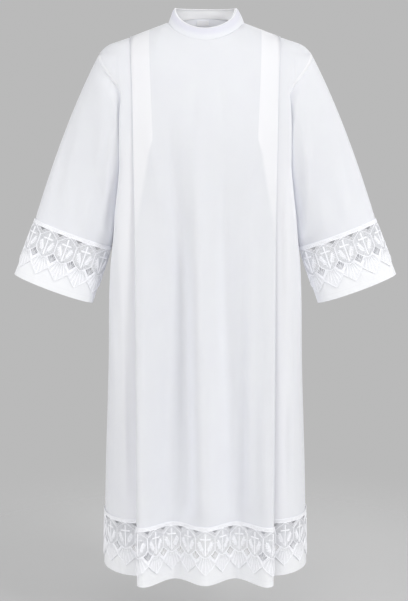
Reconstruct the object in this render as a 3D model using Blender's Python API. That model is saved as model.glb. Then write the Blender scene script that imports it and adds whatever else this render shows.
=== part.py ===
"""Alb: a long white robe with a standing neckband, a pressed pleat from each shoulder to
the hem, set-in sleeves, and a lace border round the hem and the cuffs.

Metres, +Z up. The front faces -Y and the wearer's left is +X. The origin lies midway
between the two neck points, where the shoulder seams meet the neckband.
"""
import math
from collections import namedtuple

import bpy
import bmesh
from mathutils import Vector

CLOTH = 0.0012                 # thickness of the cloth walls
LACE = 0.0011                  # thickness of the lace
BAND = 0.0020                  # thickness of the doubled neckband
SEAM = 0.0003                  # space between pieces at a seam
LACE_LIFT = 0.0006             # space between the lace and the band behind it

HEM = -1.405                   # height of the hem edge
BORDER = 0.153                 # from the top of the lace to the garment's edge
REPEAT = 0.0515                # length of one lace repeat

NECK_X = 0.0925                # neck point, from the middle
SHOULDER_X = 0.266             # shoulder tip, from the middle
SHOULDER_SLOPE = 0.35          # fall of the shoulder seam for each metre outwards
TIP_START = 0.225              # where the shoulder starts to round over
TIP_DROP = 240                 # how fast it rounds over
SHOULDER_ROUND = 0.13          # fall in which the cloth turns from the shoulder to the chest

ARM_TOP = -0.0773              # armhole at the shoulder tip
ARM_LOW = -0.350               # armhole under the arm
ARM_IN = 0.203                 # half width between the armholes
ARM_SPREAD = 5.3               # how fast the armhole runs inwards below the tip
ARM_FRONT = 0.083              # forward reach of the armhole
ARM_BACK = 0.090               # rearward reach of the armhole
UNDERARM_ROOM = 0.0007         # between the body and the sleeve under the arm

NECK_COLUMNS = 6               # columns on a quarter of the neckline
SEAM_COLUMNS = 3               # from the neck point to the pleat
TIP_COLUMNS = 2                # from the pleat to the shoulder tip
ARM_COLUMNS = 9                # on half an armhole
FOLD_COLUMNS = 3               # round each fold of a pleat

# shares of the fall from the shoulder to the lace, one for each row of points
ROWS = (0.0, 0.009, 0.032, 0.066, 0.108, 0.17, 0.25, 0.36, 0.50, 0.66, 0.83, 1.0)

Level = namedtuple("Level", "height side_x corner_x middle edge side pleat under wave")

# height: above the neck points      side_x: half width at the side seam
# corner_x: how far out the cloth is drawn at the corner in front of (or behind) the side seam
# middle, edge, side: forward reach at the middle, at the pleat's edge and just beside it
# pleat: the pleat's edge from the middle      under: depth of the pleat      wave: of the drape
FRONT = (
    Level(0.00, 0.203, 0.215, 0.088, 0.0770, 0.0706, 0.188, 0.046, 0.000),
    Level(-0.13, 0.203, 0.230, 0.120, 0.1030, 0.0945, 0.179, 0.046, 0.000),
    Level(-0.25, 0.203, 0.245, 0.134, 0.1120, 0.1010, 0.176, 0.046, 0.000),
    Level(-0.36, 0.2035, 0.2575, 0.136, 0.1140, 0.1010, 0.175, 0.046, 0.001),
    Level(-0.49, 0.214, 0.2815, 0.133, 0.1130, 0.0990, 0.174, 0.046, 0.003),
    Level(-0.60, 0.238, 0.276, 0.132, 0.1150, 0.0990, 0.174, 0.046, 0.005),
    Level(-0.85, 0.249, 0.270, 0.134, 0.1240, 0.1000, 0.174, 0.045, 0.010),
    Level(-1.12, 0.262, 0.272, 0.140, 0.1380, 0.1030, 0.174, 0.043, 0.018),
    Level(HEM, 0.271, 0.275, 0.146, 0.1560, 0.1060, 0.174, 0.040, 0.025),
)
BACK = (
    Level(0.00, 0.203, 0.215, 0.080, 0.0770, 0.0706, 0.188, 0.046, 0.000),
    Level(-0.13, 0.203, 0.228, 0.118, 0.1080, 0.0990, 0.179, 0.046, 0.000),
    Level(-0.25, 0.203, 0.236, 0.130, 0.1160, 0.1040, 0.176, 0.046, 0.000),
    Level(-0.36, 0.2035, 0.246, 0.132, 0.1160, 0.1020, 0.175, 0.046, 0.001),
    Level(-0.49, 0.214, 0.262, 0.130, 0.1150, 0.1000, 0.174, 0.046, 0.004),
    Level(-0.60, 0.238, 0.268, 0.131, 0.1170, 0.0995, 0.174, 0.046, 0.006),
    Level(-0.85, 0.249, 0.268, 0.136, 0.1260, 0.1000, 0.174, 0.045, 0.011),
    Level(-1.12, 0.262, 0.272, 0.144, 0.1380, 0.1020, 0.172, 0.043, 0.018),
    Level(HEM, 0.271, 0.275, 0.152, 0.1520, 0.1050, 0.170, 0.040, 0.024),
)
FRONT_WAVES = 1.0              # drape waves from the middle to the pleat
BACK_WAVES = 1.5
CORNER_PULL = 0.75             # how square the corners in front of the side seams are
SIDE_PULL = 0.15               # how far the side itself follows the corner outwards
SIDE_EASE = 0.12               # distance from the underarm in which it comes to that
CAP_LEAN = 0.8                 # how far the cloth leans outwards into the top of the armhole
FOLD_RADIUS = 0.006            # widest bend of a pleat's fold

# dip: how late a loop leaves the height of its sides
Loop = namedtuple("Loop", "side front back side_z front_z back_z dip")
NECKLINE = Loop(0.0925, 0.080, 0.066, side_z=0.0, front_z=-0.048, back_z=0.019, dip=1.6)
BAND_TOP = Loop(0.0770, 0.069, 0.058, side_z=0.038, front_z=-0.018, back_z=0.040, dip=1.1)
LAP_FIRST = 4                  # column of the neckline, from the front, where the inner end lies
LAP_COLUMNS = 2                # columns that the ends of the neckband lap
LAP_ROOM = 0.0030              # how far the outer end stands off the inner one
LAP_LIFT = 0.0020              # and above the cloth
LAP_EASE = 5                   # columns over which it moves out

CUFF_CENTRE = Vector((0.389, -0.020, -0.664))
CUFF_HALF_WIDTH = 0.1065
CUFF_HALF_DEPTH = 0.052
CUFF_TAPER = 0.96              # sleeve's size at the top of the lace against its edge
CUFF_STATIONS = 24             # points on the edge of half a cuff
ARM_ANGLE = math.radians(20.5)  # sleeve from the vertical
SLEEVE_ROWS = (0.0, 0.06, 0.17, 0.32, 0.49, 0.66, 0.83, 1.0)
SLEEVE_PULL_OUT = 0.60         # how early the outside of the sleeve takes the line of the arm
SLEEVE_PULL_IN = 0.14          # and its underside
SLEEVE_PUFF = 0.006            # how far the sleeve stands out between shoulder and lace

WINDOW = 0.22                  # half width of a window, as a share of a repeat
LACE_COLUMNS = (0.0, WINDOW, 0.5, 1 - WINDOW)   # 0 is where two shields meet
LACE_ROWS = (0.0, 0.0100, 0.0280, 0.0615, 0.0745, 0.0885)   # down from the top of the lace
FAN_PEAK = 0.101               # lower edge of the fans between their tips
FAN_TIP = 0.127
BAND_START = 0.088             # where the cloth band begins behind the fans

LABEL = 0.0010                 # thickness of the label inside the back of the neck
LABEL_SIDES = (0.009, 0.0, -0.021)
LABEL_HEIGHTS = (0.0127, 0.0065, 0.0007)
LABEL_ROOM = 0.0005            # between the label and the back


def smooth_curve(xs, ys, x):
    """Value at x of a smooth curve through the points (xs, ys), with xs in falling order."""
    last = len(xs) - 1
    k = 0
    while k < last - 1 and x < xs[k + 1]:
        k += 1

    def slope(i):
        a, b = max(i - 1, 0), min(i + 1, last)
        return (ys[b] - ys[a]) / (xs[b] - xs[a])

    span = xs[k + 1] - xs[k]
    t = (x - xs[k]) / span
    t = min(max(t, 0.0), 1.0)
    h1 = t * t * (3 - 2 * t)
    h2 = t * (1 - t) ** 2
    h3 = t * t * (t - 1)
    return ys[k] * (1 - h1) + ys[k + 1] * h1 + span * (slope(k) * h2 + slope(k + 1) * h3)


def at_height(table, height):
    """The row of a Level table at any height."""
    heights = [row.height for row in table]
    values = [smooth_curve(heights, [row[i] for row in table], height)
              for i in range(1, len(Level._fields))]
    return Level(height, *values)


def half_ring(table, waves, height):
    """Half a ring of cloth in plan, from the middle to where the pleat's inside ends.

    Gives (x, forward, layer) for each column: layer is how deep the point lies in the pleat.
    """
    at = at_height(table, height)
    centre_columns = NECK_COLUMNS + SEAM_COLUMNS
    front_edge = at.edge + at.wave * math.cos(2 * math.pi * waves)
    gap = front_edge - at.side
    bend = min(FOLD_RADIUS, gap / 4)
    ring = []
    for j in range(centre_columns):
        share = j / centre_columns
        x = (at.pleat - bend) * share
        forward = at.middle + (at.edge - at.middle) * share ** 2
        ring.append((x, forward + at.wave * math.cos(2 * math.pi * waves * share), 0.0))
    for j in range(FOLD_COLUMNS + 1):
        turn = math.pi * j / FOLD_COLUMNS
        depth = bend * (1 - math.cos(turn))
        ring.append((at.pleat - bend + bend * math.sin(turn), front_edge - depth, depth))
    inner_x = at.pleat - at.under + bend
    for j in range(FOLD_COLUMNS + 1):
        turn = math.pi * j / FOLD_COLUMNS
        depth = gap - bend * (1 + math.cos(turn))
        ring.append((inner_x - bend * math.sin(turn), front_edge - depth, depth))
    ring.append((at.pleat, at.side, gap))
    return ring


def shoulder_height(x):
    return -SHOULDER_SLOPE * (x - NECK_X) - TIP_DROP * max(0.0, x - TIP_START) ** 3


def loop_point(loop, turn):
    """Point of the neckline or of the neckband's top, turn being 0 at the front."""
    forward = math.cos(turn)
    reach, end_z = (loop.front, loop.front_z) if forward > 0 else (loop.back, loop.back_z)
    z = loop.side_z + (end_z - loop.side_z) * abs(forward) ** loop.dip
    return Vector((loop.side * math.sin(turn), -forward * reach, z))


def armhole_point(turn, reach):
    """Point of the left armhole, turn being 0 at the shoulder tip and half a turn below."""
    z = (ARM_TOP + ARM_LOW) / 2 + (ARM_TOP - ARM_LOW) / 2 * math.cos(turn)
    spread = (SHOULDER_X - ARM_IN) * ((1 + math.cos(turn)) / 2) ** ARM_SPREAD
    return Vector((ARM_IN + spread, -reach * math.sin(turn), z))


def armhole_turn(height):
    """Turn round the armhole at a height, from 0 at the shoulder tip to half a turn."""
    lift = (height - (ARM_TOP + ARM_LOW) / 2) / ((ARM_TOP - ARM_LOW) / 2)
    return math.acos(min(max(lift, -1.0), 1.0))


def half_top(table, waves, facing, reach):
    """Top edge of half a panel: neckline, shoulder seam with its pleat, and armhole."""
    edge = []
    for j in range(NECK_COLUMNS + 1):
        turn = math.pi / 2 * j / NECK_COLUMNS
        edge.append(loop_point(NECKLINE, turn if facing < 0 else math.pi - turn))
    ring = half_ring(table, waves, 0.0)[NECK_COLUMNS + SEAM_COLUMNS:]
    for j in range(1, SEAM_COLUMNS):
        x = NECK_X + (ring[0][0] - NECK_X) * j / SEAM_COLUMNS
        edge.append(Vector((x, 0.0, shoulder_height(x))))
    for x, forward, layer in ring:
        edge.append(Vector((x, 0.0, shoulder_height(x) - layer)))
    for j in range(1, TIP_COLUMNS):
        x = ring[-1][0] + (SHOULDER_X - ring[-1][0]) * j / TIP_COLUMNS
        edge.append(Vector((x, 0.0, tip_height(x))))
    for j in range(ARM_COLUMNS + 1):
        point = armhole_point(math.pi * j / ARM_COLUMNS, reach)
        edge.append(Vector((point.x, point.y * -facing, point.z)))
    return edge


def tip_height(x):
    """Height of the shoulder seam between the pleat and the tip, where it lies a layer lower."""
    top = FRONT[0]
    layer = (top.edge - top.side) * (SHOULDER_X - x) / (SHOULDER_X - top.pleat)
    return shoulder_height(x) - layer


def settled(fall, soft_share):
    """How far the cloth has come round from the shoulder to the chest after a fall."""
    q = min(1.0, fall / SHOULDER_ROUND)
    soft = 1 - (1 - q) ** 2
    return soft + (math.sqrt(soft) - soft) * (1 - soft_share)


def inner_point(table, waves, facing, j, start, height):
    """Point of column j between the middle and the inside of the pleat."""
    first = half_ring(table, waves, start.z)[j]
    away = Vector((start.x - first[0], start.y - facing * first[1], 0.0))
    x, forward, layer = half_ring(table, waves, height)[j]
    share = settled(start.z - height, max(0.0, 1 - j / NECK_COLUMNS))
    return Vector((x, facing * forward, height)) + away * (1 - share)


def side_point(table, facing, reach, inside, place, height):
    """Point of a column between the pleat and the side, place counting from the pleat.

    inside is the pleat's point at the height. The section of cloth runs from it round a
    corner to the shoulder seam, the armhole or the side seam, whichever is at that height.
    """
    at = at_height(table, height)
    lean = 0.0
    if height > ARM_TOP:
        share = 0.0
        while tip_height(inside.x + (SHOULDER_X - inside.x) * share) > height and share < 1:
            share += 0.01
        end = Vector((inside.x + (SHOULDER_X - inside.x) * share, 0.0, height))
        columns = max(TIP_COLUMNS * share, place)
    elif height > ARM_LOW:
        turn = armhole_turn(height)
        end = armhole_point(turn, reach)
        end.y *= -facing
        columns = TIP_COLUMNS + ARM_COLUMNS * turn / math.pi
        lean = CAP_LEAN * max(0.0, math.sin(2 * turn)) * abs(inside.y - end.y)
    else:
        end = Vector((at.side_x, 0.0, height))
        columns = TIP_COLUMNS + ARM_COLUMNS
    corner = Vector((max(at.corner_x, end.x), inside.y, height))
    share = min(1.0, place / columns)
    pull = SIDE_PULL * min(1.0, abs(height - ARM_LOW) / SIDE_EASE)
    beside = Vector((end.x + (corner.x - end.x) * pull - lean, inside.y, height))
    first = inside.lerp(corner, CORNER_PULL)
    second = end.lerp(beside, CORNER_PULL)
    rest = 1 - share
    point = inside * rest ** 3 + first * (3 * share * rest ** 2)
    return point + second * (3 * share ** 2 * rest) + end * share ** 3


def half_panel(table, waves, facing, reach):
    """Grid of points of half a panel on the +X side, columns[j][row]."""
    top = half_top(table, waves, facing, reach)
    bottom = HEM + BORDER
    inside = len(top) - 1 - TIP_COLUMNS - ARM_COLUMNS
    columns = []
    for j, start in enumerate(top):
        column = [start]
        for share in ROWS[1:]:
            z = start.z + (bottom - start.z) * share
            if j <= inside:
                column.append(inner_point(table, waves, facing, j, start, z))
            else:
                pleat = inner_point(table, waves, facing, inside, top[inside], z)
                column.append(side_point(table, facing, reach, pleat, j - inside, z))
        columns.append(column)
    return columns


def mirrored(point):
    return Vector((-point.x, point.y, point.z))


def whole_panel(table, waves, facing, reach):
    """The panel's rows from top to bottom, each from the wearer's right to the left."""
    half = half_panel(table, waves, facing, reach)
    columns = [[mirrored(p) for p in column] for column in reversed(half[1:])] + half
    return [list(row) for row in zip(*columns)]


def sleeve_axis():
    return Vector((math.sin(ARM_ANGLE), 0.0, -math.cos(ARM_ANGLE)))


def cuff_point(turn, down):
    """Point of the left cuff's tube, down being the distance from the top of the lace."""
    grow = CUFF_TAPER + (1 - CUFF_TAPER) * down / BORDER
    across = Vector((math.cos(ARM_ANGLE), 0.0, math.sin(ARM_ANGLE)))
    point = CUFF_CENTRE - sleeve_axis() * (BORDER - down)
    point = point + across * (CUFF_HALF_WIDTH * grow * math.cos(turn))
    return point + Vector((0.0, -CUFF_HALF_DEPTH * grow * math.sin(turn), 0.0))


def sleeve_rows():
    """Rings of the left sleeve from the armhole to the lace."""
    around = 2 * ARM_COLUMNS
    rows = []
    for share in SLEEVE_ROWS:
        row = []
        for j in range(around):
            turn = 2 * math.pi * j / around
            start = armhole_point(turn, ARM_FRONT if turn < math.pi else ARM_BACK)
            start.x += UNDERARM_ROOM * (1 - math.cos(turn)) / 2
            end = cuff_point(turn, 0.0)
            outside = (1 + math.cos(turn)) / 2
            pull = SLEEVE_PULL_IN + (SLEEVE_PULL_OUT - SLEEVE_PULL_IN) * outside
            pull = end - sleeve_axis() * ((end - start).length * pull)
            point = start * (1 - share) ** 2 + pull * (2 * share * (1 - share)) + end * share ** 2
            puff = SLEEVE_PUFF * 4 * share * (1 - share) * outside
            row.append(point + Vector((math.cos(ARM_ANGLE), 0.0, math.sin(ARM_ANGLE))) * puff)
        rows.append(row)
    return rows


def grid_normals(rows, closed):
    """Unit normals of a grid of points; rows run down and points run along, seen from outside."""
    count = len(rows[0])
    normals = []
    for i, row in enumerate(rows):
        above, below = rows[max(i - 1, 0)], rows[min(i + 1, len(rows) - 1)]
        line = []
        for j in range(count):
            if closed:
                before, after = row[j - 1], row[(j + 1) % count]
            else:
                before, after = row[max(j - 1, 0)], row[min(j + 1, count - 1)]
            line.append((below[j] - above[j]).cross(after - before).normalized())
        normals.append(line)
    return normals


def share_normals(*ends):
    """Give the ends that meet at a seam one normal, where they face alike.

    Each end is a line of normals and its place in that line.
    """
    lead_line, lead = ends[0]
    alike = [(line, k) for line, k in ends if line[k].dot(lead_line[lead]) > 0.1]
    mean = sum((line[k] for line, k in alike), Vector()).normalized()
    for line, k in alike:
        line[k] = mean


def trimmed(rows, normals, closed, space):
    """Draw a grid's edges in by the given space, so that pieces stand apart at a seam."""
    count = len(rows[0])
    ends = (0, len(rows) - 1)
    sides = () if closed else (0, count - 1)
    moved = [[p.copy() for p in row] for row in rows]
    for i, row in enumerate(rows):
        for j, point in enumerate(row):
            inwards = []
            if i in ends:
                inner = rows[1 if i == 0 else i - 1][j]
                if j > 0 or closed:
                    inwards.append((point - row[j - 1], inner))
                if j < count - 1 or closed:
                    inwards.append((row[(j + 1) % count] - point, inner))
            if j in sides:
                inner = row[1 if j == 0 else j - 1]
                if i > 0:
                    inwards.append((point - rows[i - 1][j], inner))
                if i < len(rows) - 1:
                    inwards.append((rows[i + 1][j] - point, inner))
            turned = []
            for along, inner in inwards:
                inward = along.cross(normals[i][j]).normalized()
                turned.append(inward if inward.dot(inner - point) > 0 else -inward)
            if turned:
                first, second = turned
                moved[i][j] += (first + second) * (space / (1 + first.dot(second)))
    return moved


def material(name, colour, roughness):
    made = bpy.data.materials.new(name)
    made.use_nodes = True
    shader = made.node_tree.nodes["Principled BSDF"]
    shader.inputs["Base Color"].default_value = (*colour, 1.0)
    shader.inputs["Roughness"].default_value = roughness
    shader.inputs["Metallic"].default_value = 0.0
    return made


def halved(faces, rows):
    """Split each four-cornered face along its shorter diagonal."""
    made = []
    for face in faces:
        if len(face) == 3:
            made.append(face)
            continue
        a, b, c, d = [rows[i][j] for i, j in face]
        if (c - a).length > (d - b).length:
            face = face[1:] + face[:1]
        made += [(face[0], face[1], face[2]), (face[0], face[2], face[3])]
    return made


def wall(name, rows, normals, thickness, finish, closed=False, cut=None):
    """A closed wall of cloth: outer points, inner points and the rims between them.

    cut turns one face of the grid, given by its (row, column) corners, into what is left of it.
    """
    mesh = bmesh.new()
    count = len(rows[0])
    outer = [[mesh.verts.new(p) for p in row] for row in rows]
    inner = [[mesh.verts.new(p - n * thickness) for p, n in zip(row, line)]
             for row, line in zip(rows, normals)]
    faces = []
    for i in range(len(rows) - 1):
        for j in range(count if closed else count - 1):
            k = (j + 1) % count
            face = ((i, j), (i + 1, j), (i + 1, k), (i, k))
            faces.append(cut(face) if cut else face)
    edges = {}
    for face in halved(faces, rows):
        mesh.faces.new([outer[i][j] for i, j in face])
        mesh.faces.new([inner[i][j] for i, j in reversed(face)])
        for a, b in zip(face, face[1:] + face[:1]):
            if (b, a) in edges:
                del edges[(b, a)]
            else:
                edges[(a, b)] = True
    for (i, j), (k, m) in edges:
        mesh.faces.new([outer[k][m], outer[i][j], inner[i][j], inner[k][m]])
    loose = [v for v in mesh.verts if not v.link_faces]
    bmesh.ops.delete(mesh, geom=loose, context="VERTS")
    data = bpy.data.meshes.new(name)
    mesh.to_mesh(data)
    mesh.free()
    data.materials.append(finish)
    data.shade_smooth()
    data.set_sharp_from_angle(angle=math.radians(50))
    piece = bpy.data.objects.new(name, data)
    alb.objects.link(piece)
    return piece


def border_columns(top, bottom, repeats):
    """Pairs of points on two lines with like stations, at the columns of a run of lace."""
    reach = [0.0]
    for k in range(len(top) - 1):
        step = (top[k + 1] - top[k]).length + (bottom[k + 1] - bottom[k]).length
        reach.append(reach[-1] + step / 2)
    shares = [(k + column) / repeats for k in range(repeats) for column in LACE_COLUMNS] + [1.0]
    pairs = []
    k = 0
    for share in shares:
        goal = reach[-1] * share
        while k < len(top) - 2 and reach[k + 1] < goal:
            k += 1
        part = (goal - reach[k]) / (reach[k + 1] - reach[k])
        pairs.append((top[k].lerp(top[k + 1], part), bottom[k].lerp(bottom[k + 1], part)))
    return pairs


def fan_edge(column):
    """How far down the fans reach at a column of the lace."""
    share = LACE_COLUMNS[column % len(LACE_COLUMNS)]
    return FAN_TIP - (FAN_TIP - FAN_PEAK) * abs(share - 0.5) / 0.5


def border_grids(pairs):
    """Points of the lace and of the band behind it, and their normals."""
    lace = [[a.lerp(b, down / BORDER) for a, b in pairs] for down in LACE_ROWS]
    lace.append([a.lerp(b, fan_edge(j) / BORDER) for j, (a, b) in enumerate(pairs)])
    band = [[a.lerp(b, down / BORDER) for a, b in pairs] for down in (BAND_START, BORDER)]
    ends = [[a for a, b in pairs], [b for a, b in pairs]]
    facing = grid_normals(ends, False)
    mean = [(a + b).normalized() for a, b in zip(*facing)]
    return lace, band, mean


def windows(face):
    """Cut the triangular window under the beading and the diamond window between the shields."""
    (row, left), (below, _), (_, right), _ = face
    column = left % len(LACE_COLUMNS)
    if row not in (1, 3, 4) or column not in (0, len(LACE_COLUMNS) - 1):
        return face
    axis, far = (left, right) if column == 0 else (right, left)
    kept = {
        1: ((below, axis), (below, far), (row, far)),
        3: ((row, axis), (below, far), (row, far)),
        4: ((below, axis), (below, far), (row, far)),
    }[row]
    return kept if column == 0 else kept[::-1]


def whole_ring(table, waves, facing, height):
    """The panel's line in plan at a height, seen from outside from left to right."""
    half = [Vector((x, facing * forward, height))
            for x, forward, layer in half_ring(table, waves, height)]
    half += [side_point(table, facing, 0.0, half[-1], place, height)
             for place in range(1, TIP_COLUMNS + ARM_COLUMNS + 1)]
    line = [mirrored(p) for p in reversed(half[1:])] + half
    return line if facing < 0 else line[::-1]


def on_panel(rows, x, z):
    """Point near the middle of a panel, at x and z, between the points of its grid."""
    middle = len(rows[0]) // 2
    neighbour = middle + (1 if (rows[0][middle + 1].x > 0) == (x > 0) else -1)
    line = [row[middle].lerp(row[neighbour], x / row[neighbour].x) for row in rows]
    k = 0
    while line[k + 1].z > z:
        k += 1
    return line[k].lerp(line[k + 1], (line[k].z - z) / (line[k].z - line[k + 1].z))


def border(pieces, repeats, lace_name, band_name):
    """Lace round an opening, in pieces that follow one another, and the bands behind it."""
    grids = [border_grids(border_columns(top, bottom, repeats)) for top, bottom in pieces]
    facings = [facing for lace, band, facing in grids]
    for k, facing in enumerate(facings):
        share_normals((facing, len(facing) - 1), (facings[(k + 1) % len(facings)], 0))
    made = []
    for k, (lace, band, facing) in enumerate(grids):
        lifted = [[p + n * (LACE + LACE_LIFT) for p, n in zip(row, facing)] for row in lace]
        lace_facing = [facing] * len(lace)
        lifted = trimmed(lifted, lace_facing, False, SEAM / 2)
        wall(lace_name[k], lifted, lace_facing, LACE, lace_white, cut=windows)
        made.append((band, [facing] * len(band)))
    if len(band_name) == len(made):
        for name, (band, facing) in zip(band_name, made):
            wall(name, trimmed(band, facing, False, SEAM / 2), facing, CLOTH, cloth_white)
        return
    ring = [[p for band, facing in made for p in band[i][:-1]] for i in range(2)]
    ring_facing = [[n for band, facing in made for n in facing[i][:-1]] for i in range(2)]
    wall(band_name[0], ring, ring_facing, CLOTH, cloth_white, closed=True)


def path_length(line):
    return sum((b - a).length for a, b in zip(line, line[1:]))


for old in list(bpy.data.objects):
    bpy.data.objects.remove(old, do_unlink=True)
alb = bpy.data.collections.new("alb")
bpy.context.scene.collection.children.link(alb)
cloth_white = material("white_cloth", (0.86, 0.87, 0.89), 0.85)
lace_white = material("white_lace", (0.90, 0.90, 0.92), 0.80)
label_white = material("label_white", (0.88, 0.88, 0.86), 0.70)

# panels, with the seams that they share
front = whole_panel(FRONT, FRONT_WAVES, -1, ARM_FRONT)
back = [row[::-1] for row in whole_panel(BACK, BACK_WAVES, 1, ARM_BACK)]
front_facing = grid_normals(front, False)
back_facing = grid_normals(back, False)
middle = len(front[0]) // 2
around = 2 * ARM_COLUMNS
right_sleeve = [[mirrored(p) for p in row] for row in sleeve_rows()]
left_sleeve = [[row[-j % around] for j in range(around)] for row in sleeve_rows()]
right_facing = grid_normals(right_sleeve, True)
left_facing = grid_normals(left_sleeve, True)

# the neckband runs from its inner end round the back to its outer end
band_rows = []
band_turns = range(LAP_FIRST, LAP_FIRST + 4 * NECK_COLUMNS + LAP_COLUMNS + 1)
for share in (0.0, 0.5, 1.0):
    row = []
    for k in band_turns:
        turn = math.pi / 2 * k / NECK_COLUMNS
        ease = (k - band_turns[-1] + LAP_COLUMNS + LAP_EASE) / LAP_EASE
        ease = min(max(ease, 0.0), 1.0)
        point = loop_point(BAND_TOP, turn).lerp(loop_point(NECKLINE, turn), share)
        point += Vector((math.sin(turn), -math.cos(turn), 0.0)) * (LAP_ROOM * ease)
        point.z += LAP_LIFT * ease * share
        row.append(point)
    band_rows.append(row)
band_facing = grid_normals(band_rows, False)

for j in range(NECK_COLUMNS + 1, middle - ARM_COLUMNS):
    for side in (-1, 1):
        share_normals((front_facing[0], middle + side * j), (back_facing[0], middle - side * j))
for side, facing in ((1, left_facing), (-1, right_facing)):
    for m in range(ARM_COLUMNS + 1):
        j = side * (middle - ARM_COLUMNS + m)
        ends = [(facing[0], -side * m % around)]
        if m in (0, ARM_COLUMNS):
            share_normals((front_facing[0], middle + j), (back_facing[0], middle - j), *ends)
        else:
            share_normals((front_facing[0], middle + j), *ends)
            share_normals((back_facing[0], middle - j), (facing[0], side * m % around))
for i in range(1, len(ROWS)):
    share_normals((front_facing[i], 0), (back_facing[i], len(back[0]) - 1))
    share_normals((front_facing[i], len(front[0]) - 1), (back_facing[i], 0))
for place, k in enumerate(band_turns):
    if k > 4 * NECK_COLUMNS - 1:
        turn = math.pi / 2 * k / NECK_COLUMNS
        band_facing[-1][place] = Vector((math.sin(turn), -math.cos(turn), 0.0))
        continue
    quarter = k % (4 * NECK_COLUMNS)
    from_front = quarter if quarter <= 2 * NECK_COLUMNS else quarter - 4 * NECK_COLUMNS
    ends = [(band_facing[-1], place)]
    if abs(from_front) <= NECK_COLUMNS:
        ends.append((front_facing[0], middle + from_front))
    if abs(from_front) >= NECK_COLUMNS:
        from_back = 2 * NECK_COLUMNS - abs(from_front)
        ends.append((back_facing[0], middle - from_back * (1 if from_front > 0 else -1)))
    share_normals(*ends)

label_rows = [[on_panel(back, x, z) for x in LABEL_SIDES] for z in LABEL_HEIGHTS]
label_facing = grid_normals(label_rows, False)
label_rows = [[p - n * (CLOTH + LABEL_ROOM) for p, n in zip(row, line)]
              for row, line in zip(label_rows, label_facing)]
wall("label", label_rows, label_facing, LABEL, label_white)

half_seam = SEAM / 2
wall("front", trimmed(front, front_facing, False, half_seam), front_facing, CLOTH, cloth_white)
wall("back", trimmed(back, back_facing, False, half_seam), back_facing, CLOTH, cloth_white)
wall("sleeve_left", trimmed(left_sleeve, left_facing, True, SEAM), left_facing, CLOTH,
     cloth_white, closed=True)
wall("sleeve_right", trimmed(right_sleeve, right_facing, True, SEAM), right_facing, CLOTH,
     cloth_white, closed=True)
wall("collar", trimmed(band_rows, band_facing, False, SEAM), band_facing, BAND, cloth_white)

hem_lines = []
for table, waves, facing in ((FRONT, FRONT_WAVES, -1), (BACK, BACK_WAVES, 1)):
    hem_lines.append([whole_ring(table, waves, facing, z) for z in (HEM + BORDER, HEM)])
hem_repeats = 2 * round((path_length(hem_lines[0][1]) / REPEAT - 1) / 2) + 1
border(hem_lines, hem_repeats, ("hem_lace_front", "hem_lace_back"),
       ("hem_band_front", "hem_band_back"))

for side, word in ((1, "left"), (-1, "right")):
    halves = []
    for first in (0, 1):
        lines = []
        for down in (0.0, BORDER):
            line = []
            for k in range(CUFF_STATIONS + 1):
                turn = math.pi * (first + k / CUFF_STATIONS)
                point = cuff_point(turn, down)
                line.append(point if side > 0 else mirrored(point))
            lines.append(line[::-1] if side > 0 else line)
        halves.append(lines)
    cuff_repeats = round(path_length(halves[0][1]) / REPEAT)
    order = halves if side < 0 else halves[::-1]
    names = [f"cuff_lace_{word}_{part}" for part in ("front", "back")]
    border(order, cuff_repeats, names if side < 0 else names[::-1], (f"cuff_band_{word}",))
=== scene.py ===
"""An alb: a long white robe with a standing neckband, pressed pleats and a lace border.

Each section below makes one piece of the robe, or one group of like pieces, in the order
in which a maker puts them together. Sizes are in metres and +Z is up.
"""

import math

import bpy
import numpy as np
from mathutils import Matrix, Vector


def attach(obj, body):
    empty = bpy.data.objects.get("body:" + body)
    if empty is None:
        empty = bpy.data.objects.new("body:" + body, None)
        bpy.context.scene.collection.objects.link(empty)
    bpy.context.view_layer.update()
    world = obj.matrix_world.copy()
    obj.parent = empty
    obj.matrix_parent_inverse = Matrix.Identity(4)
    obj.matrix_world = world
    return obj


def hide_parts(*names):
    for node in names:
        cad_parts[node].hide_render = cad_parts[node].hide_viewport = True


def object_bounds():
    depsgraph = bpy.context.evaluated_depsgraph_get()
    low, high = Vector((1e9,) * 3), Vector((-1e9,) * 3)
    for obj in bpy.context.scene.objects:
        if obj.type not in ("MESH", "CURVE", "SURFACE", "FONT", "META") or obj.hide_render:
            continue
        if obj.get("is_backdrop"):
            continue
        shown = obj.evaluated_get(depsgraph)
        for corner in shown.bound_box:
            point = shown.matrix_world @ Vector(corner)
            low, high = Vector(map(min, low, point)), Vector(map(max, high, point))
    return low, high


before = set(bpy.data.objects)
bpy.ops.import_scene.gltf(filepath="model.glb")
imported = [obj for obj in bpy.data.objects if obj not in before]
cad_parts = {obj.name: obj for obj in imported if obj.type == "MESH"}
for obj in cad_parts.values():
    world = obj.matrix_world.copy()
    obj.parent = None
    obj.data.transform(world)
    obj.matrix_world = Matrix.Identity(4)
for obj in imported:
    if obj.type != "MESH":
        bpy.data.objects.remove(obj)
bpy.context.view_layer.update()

# ---------------------------------------------------------------- camera
# A long lens in front of the robe, a little below the neck, looks slightly down.
camera_data = bpy.data.cameras.new("camera")
camera_data.sensor_width = 36.0
camera_data.lens = 63.07
camera = bpy.data.objects.new("camera", camera_data)
camera.location = (-0.0033, -2.70, -0.296)
camera.rotation_euler = (math.radians(90 - 8.5), 0.0, 0.0)
bpy.context.scene.collection.objects.link(camera)
bpy.context.scene.camera = camera
bpy.context.scene.view_settings.view_transform = "Standard"

# ---------------------------------------------------------------- cloth
# Fine white plain-woven poly-cotton, pressed smooth. Each panel is cut from it, and every
# piece below that isn't lace is made of the same cloth.


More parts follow.
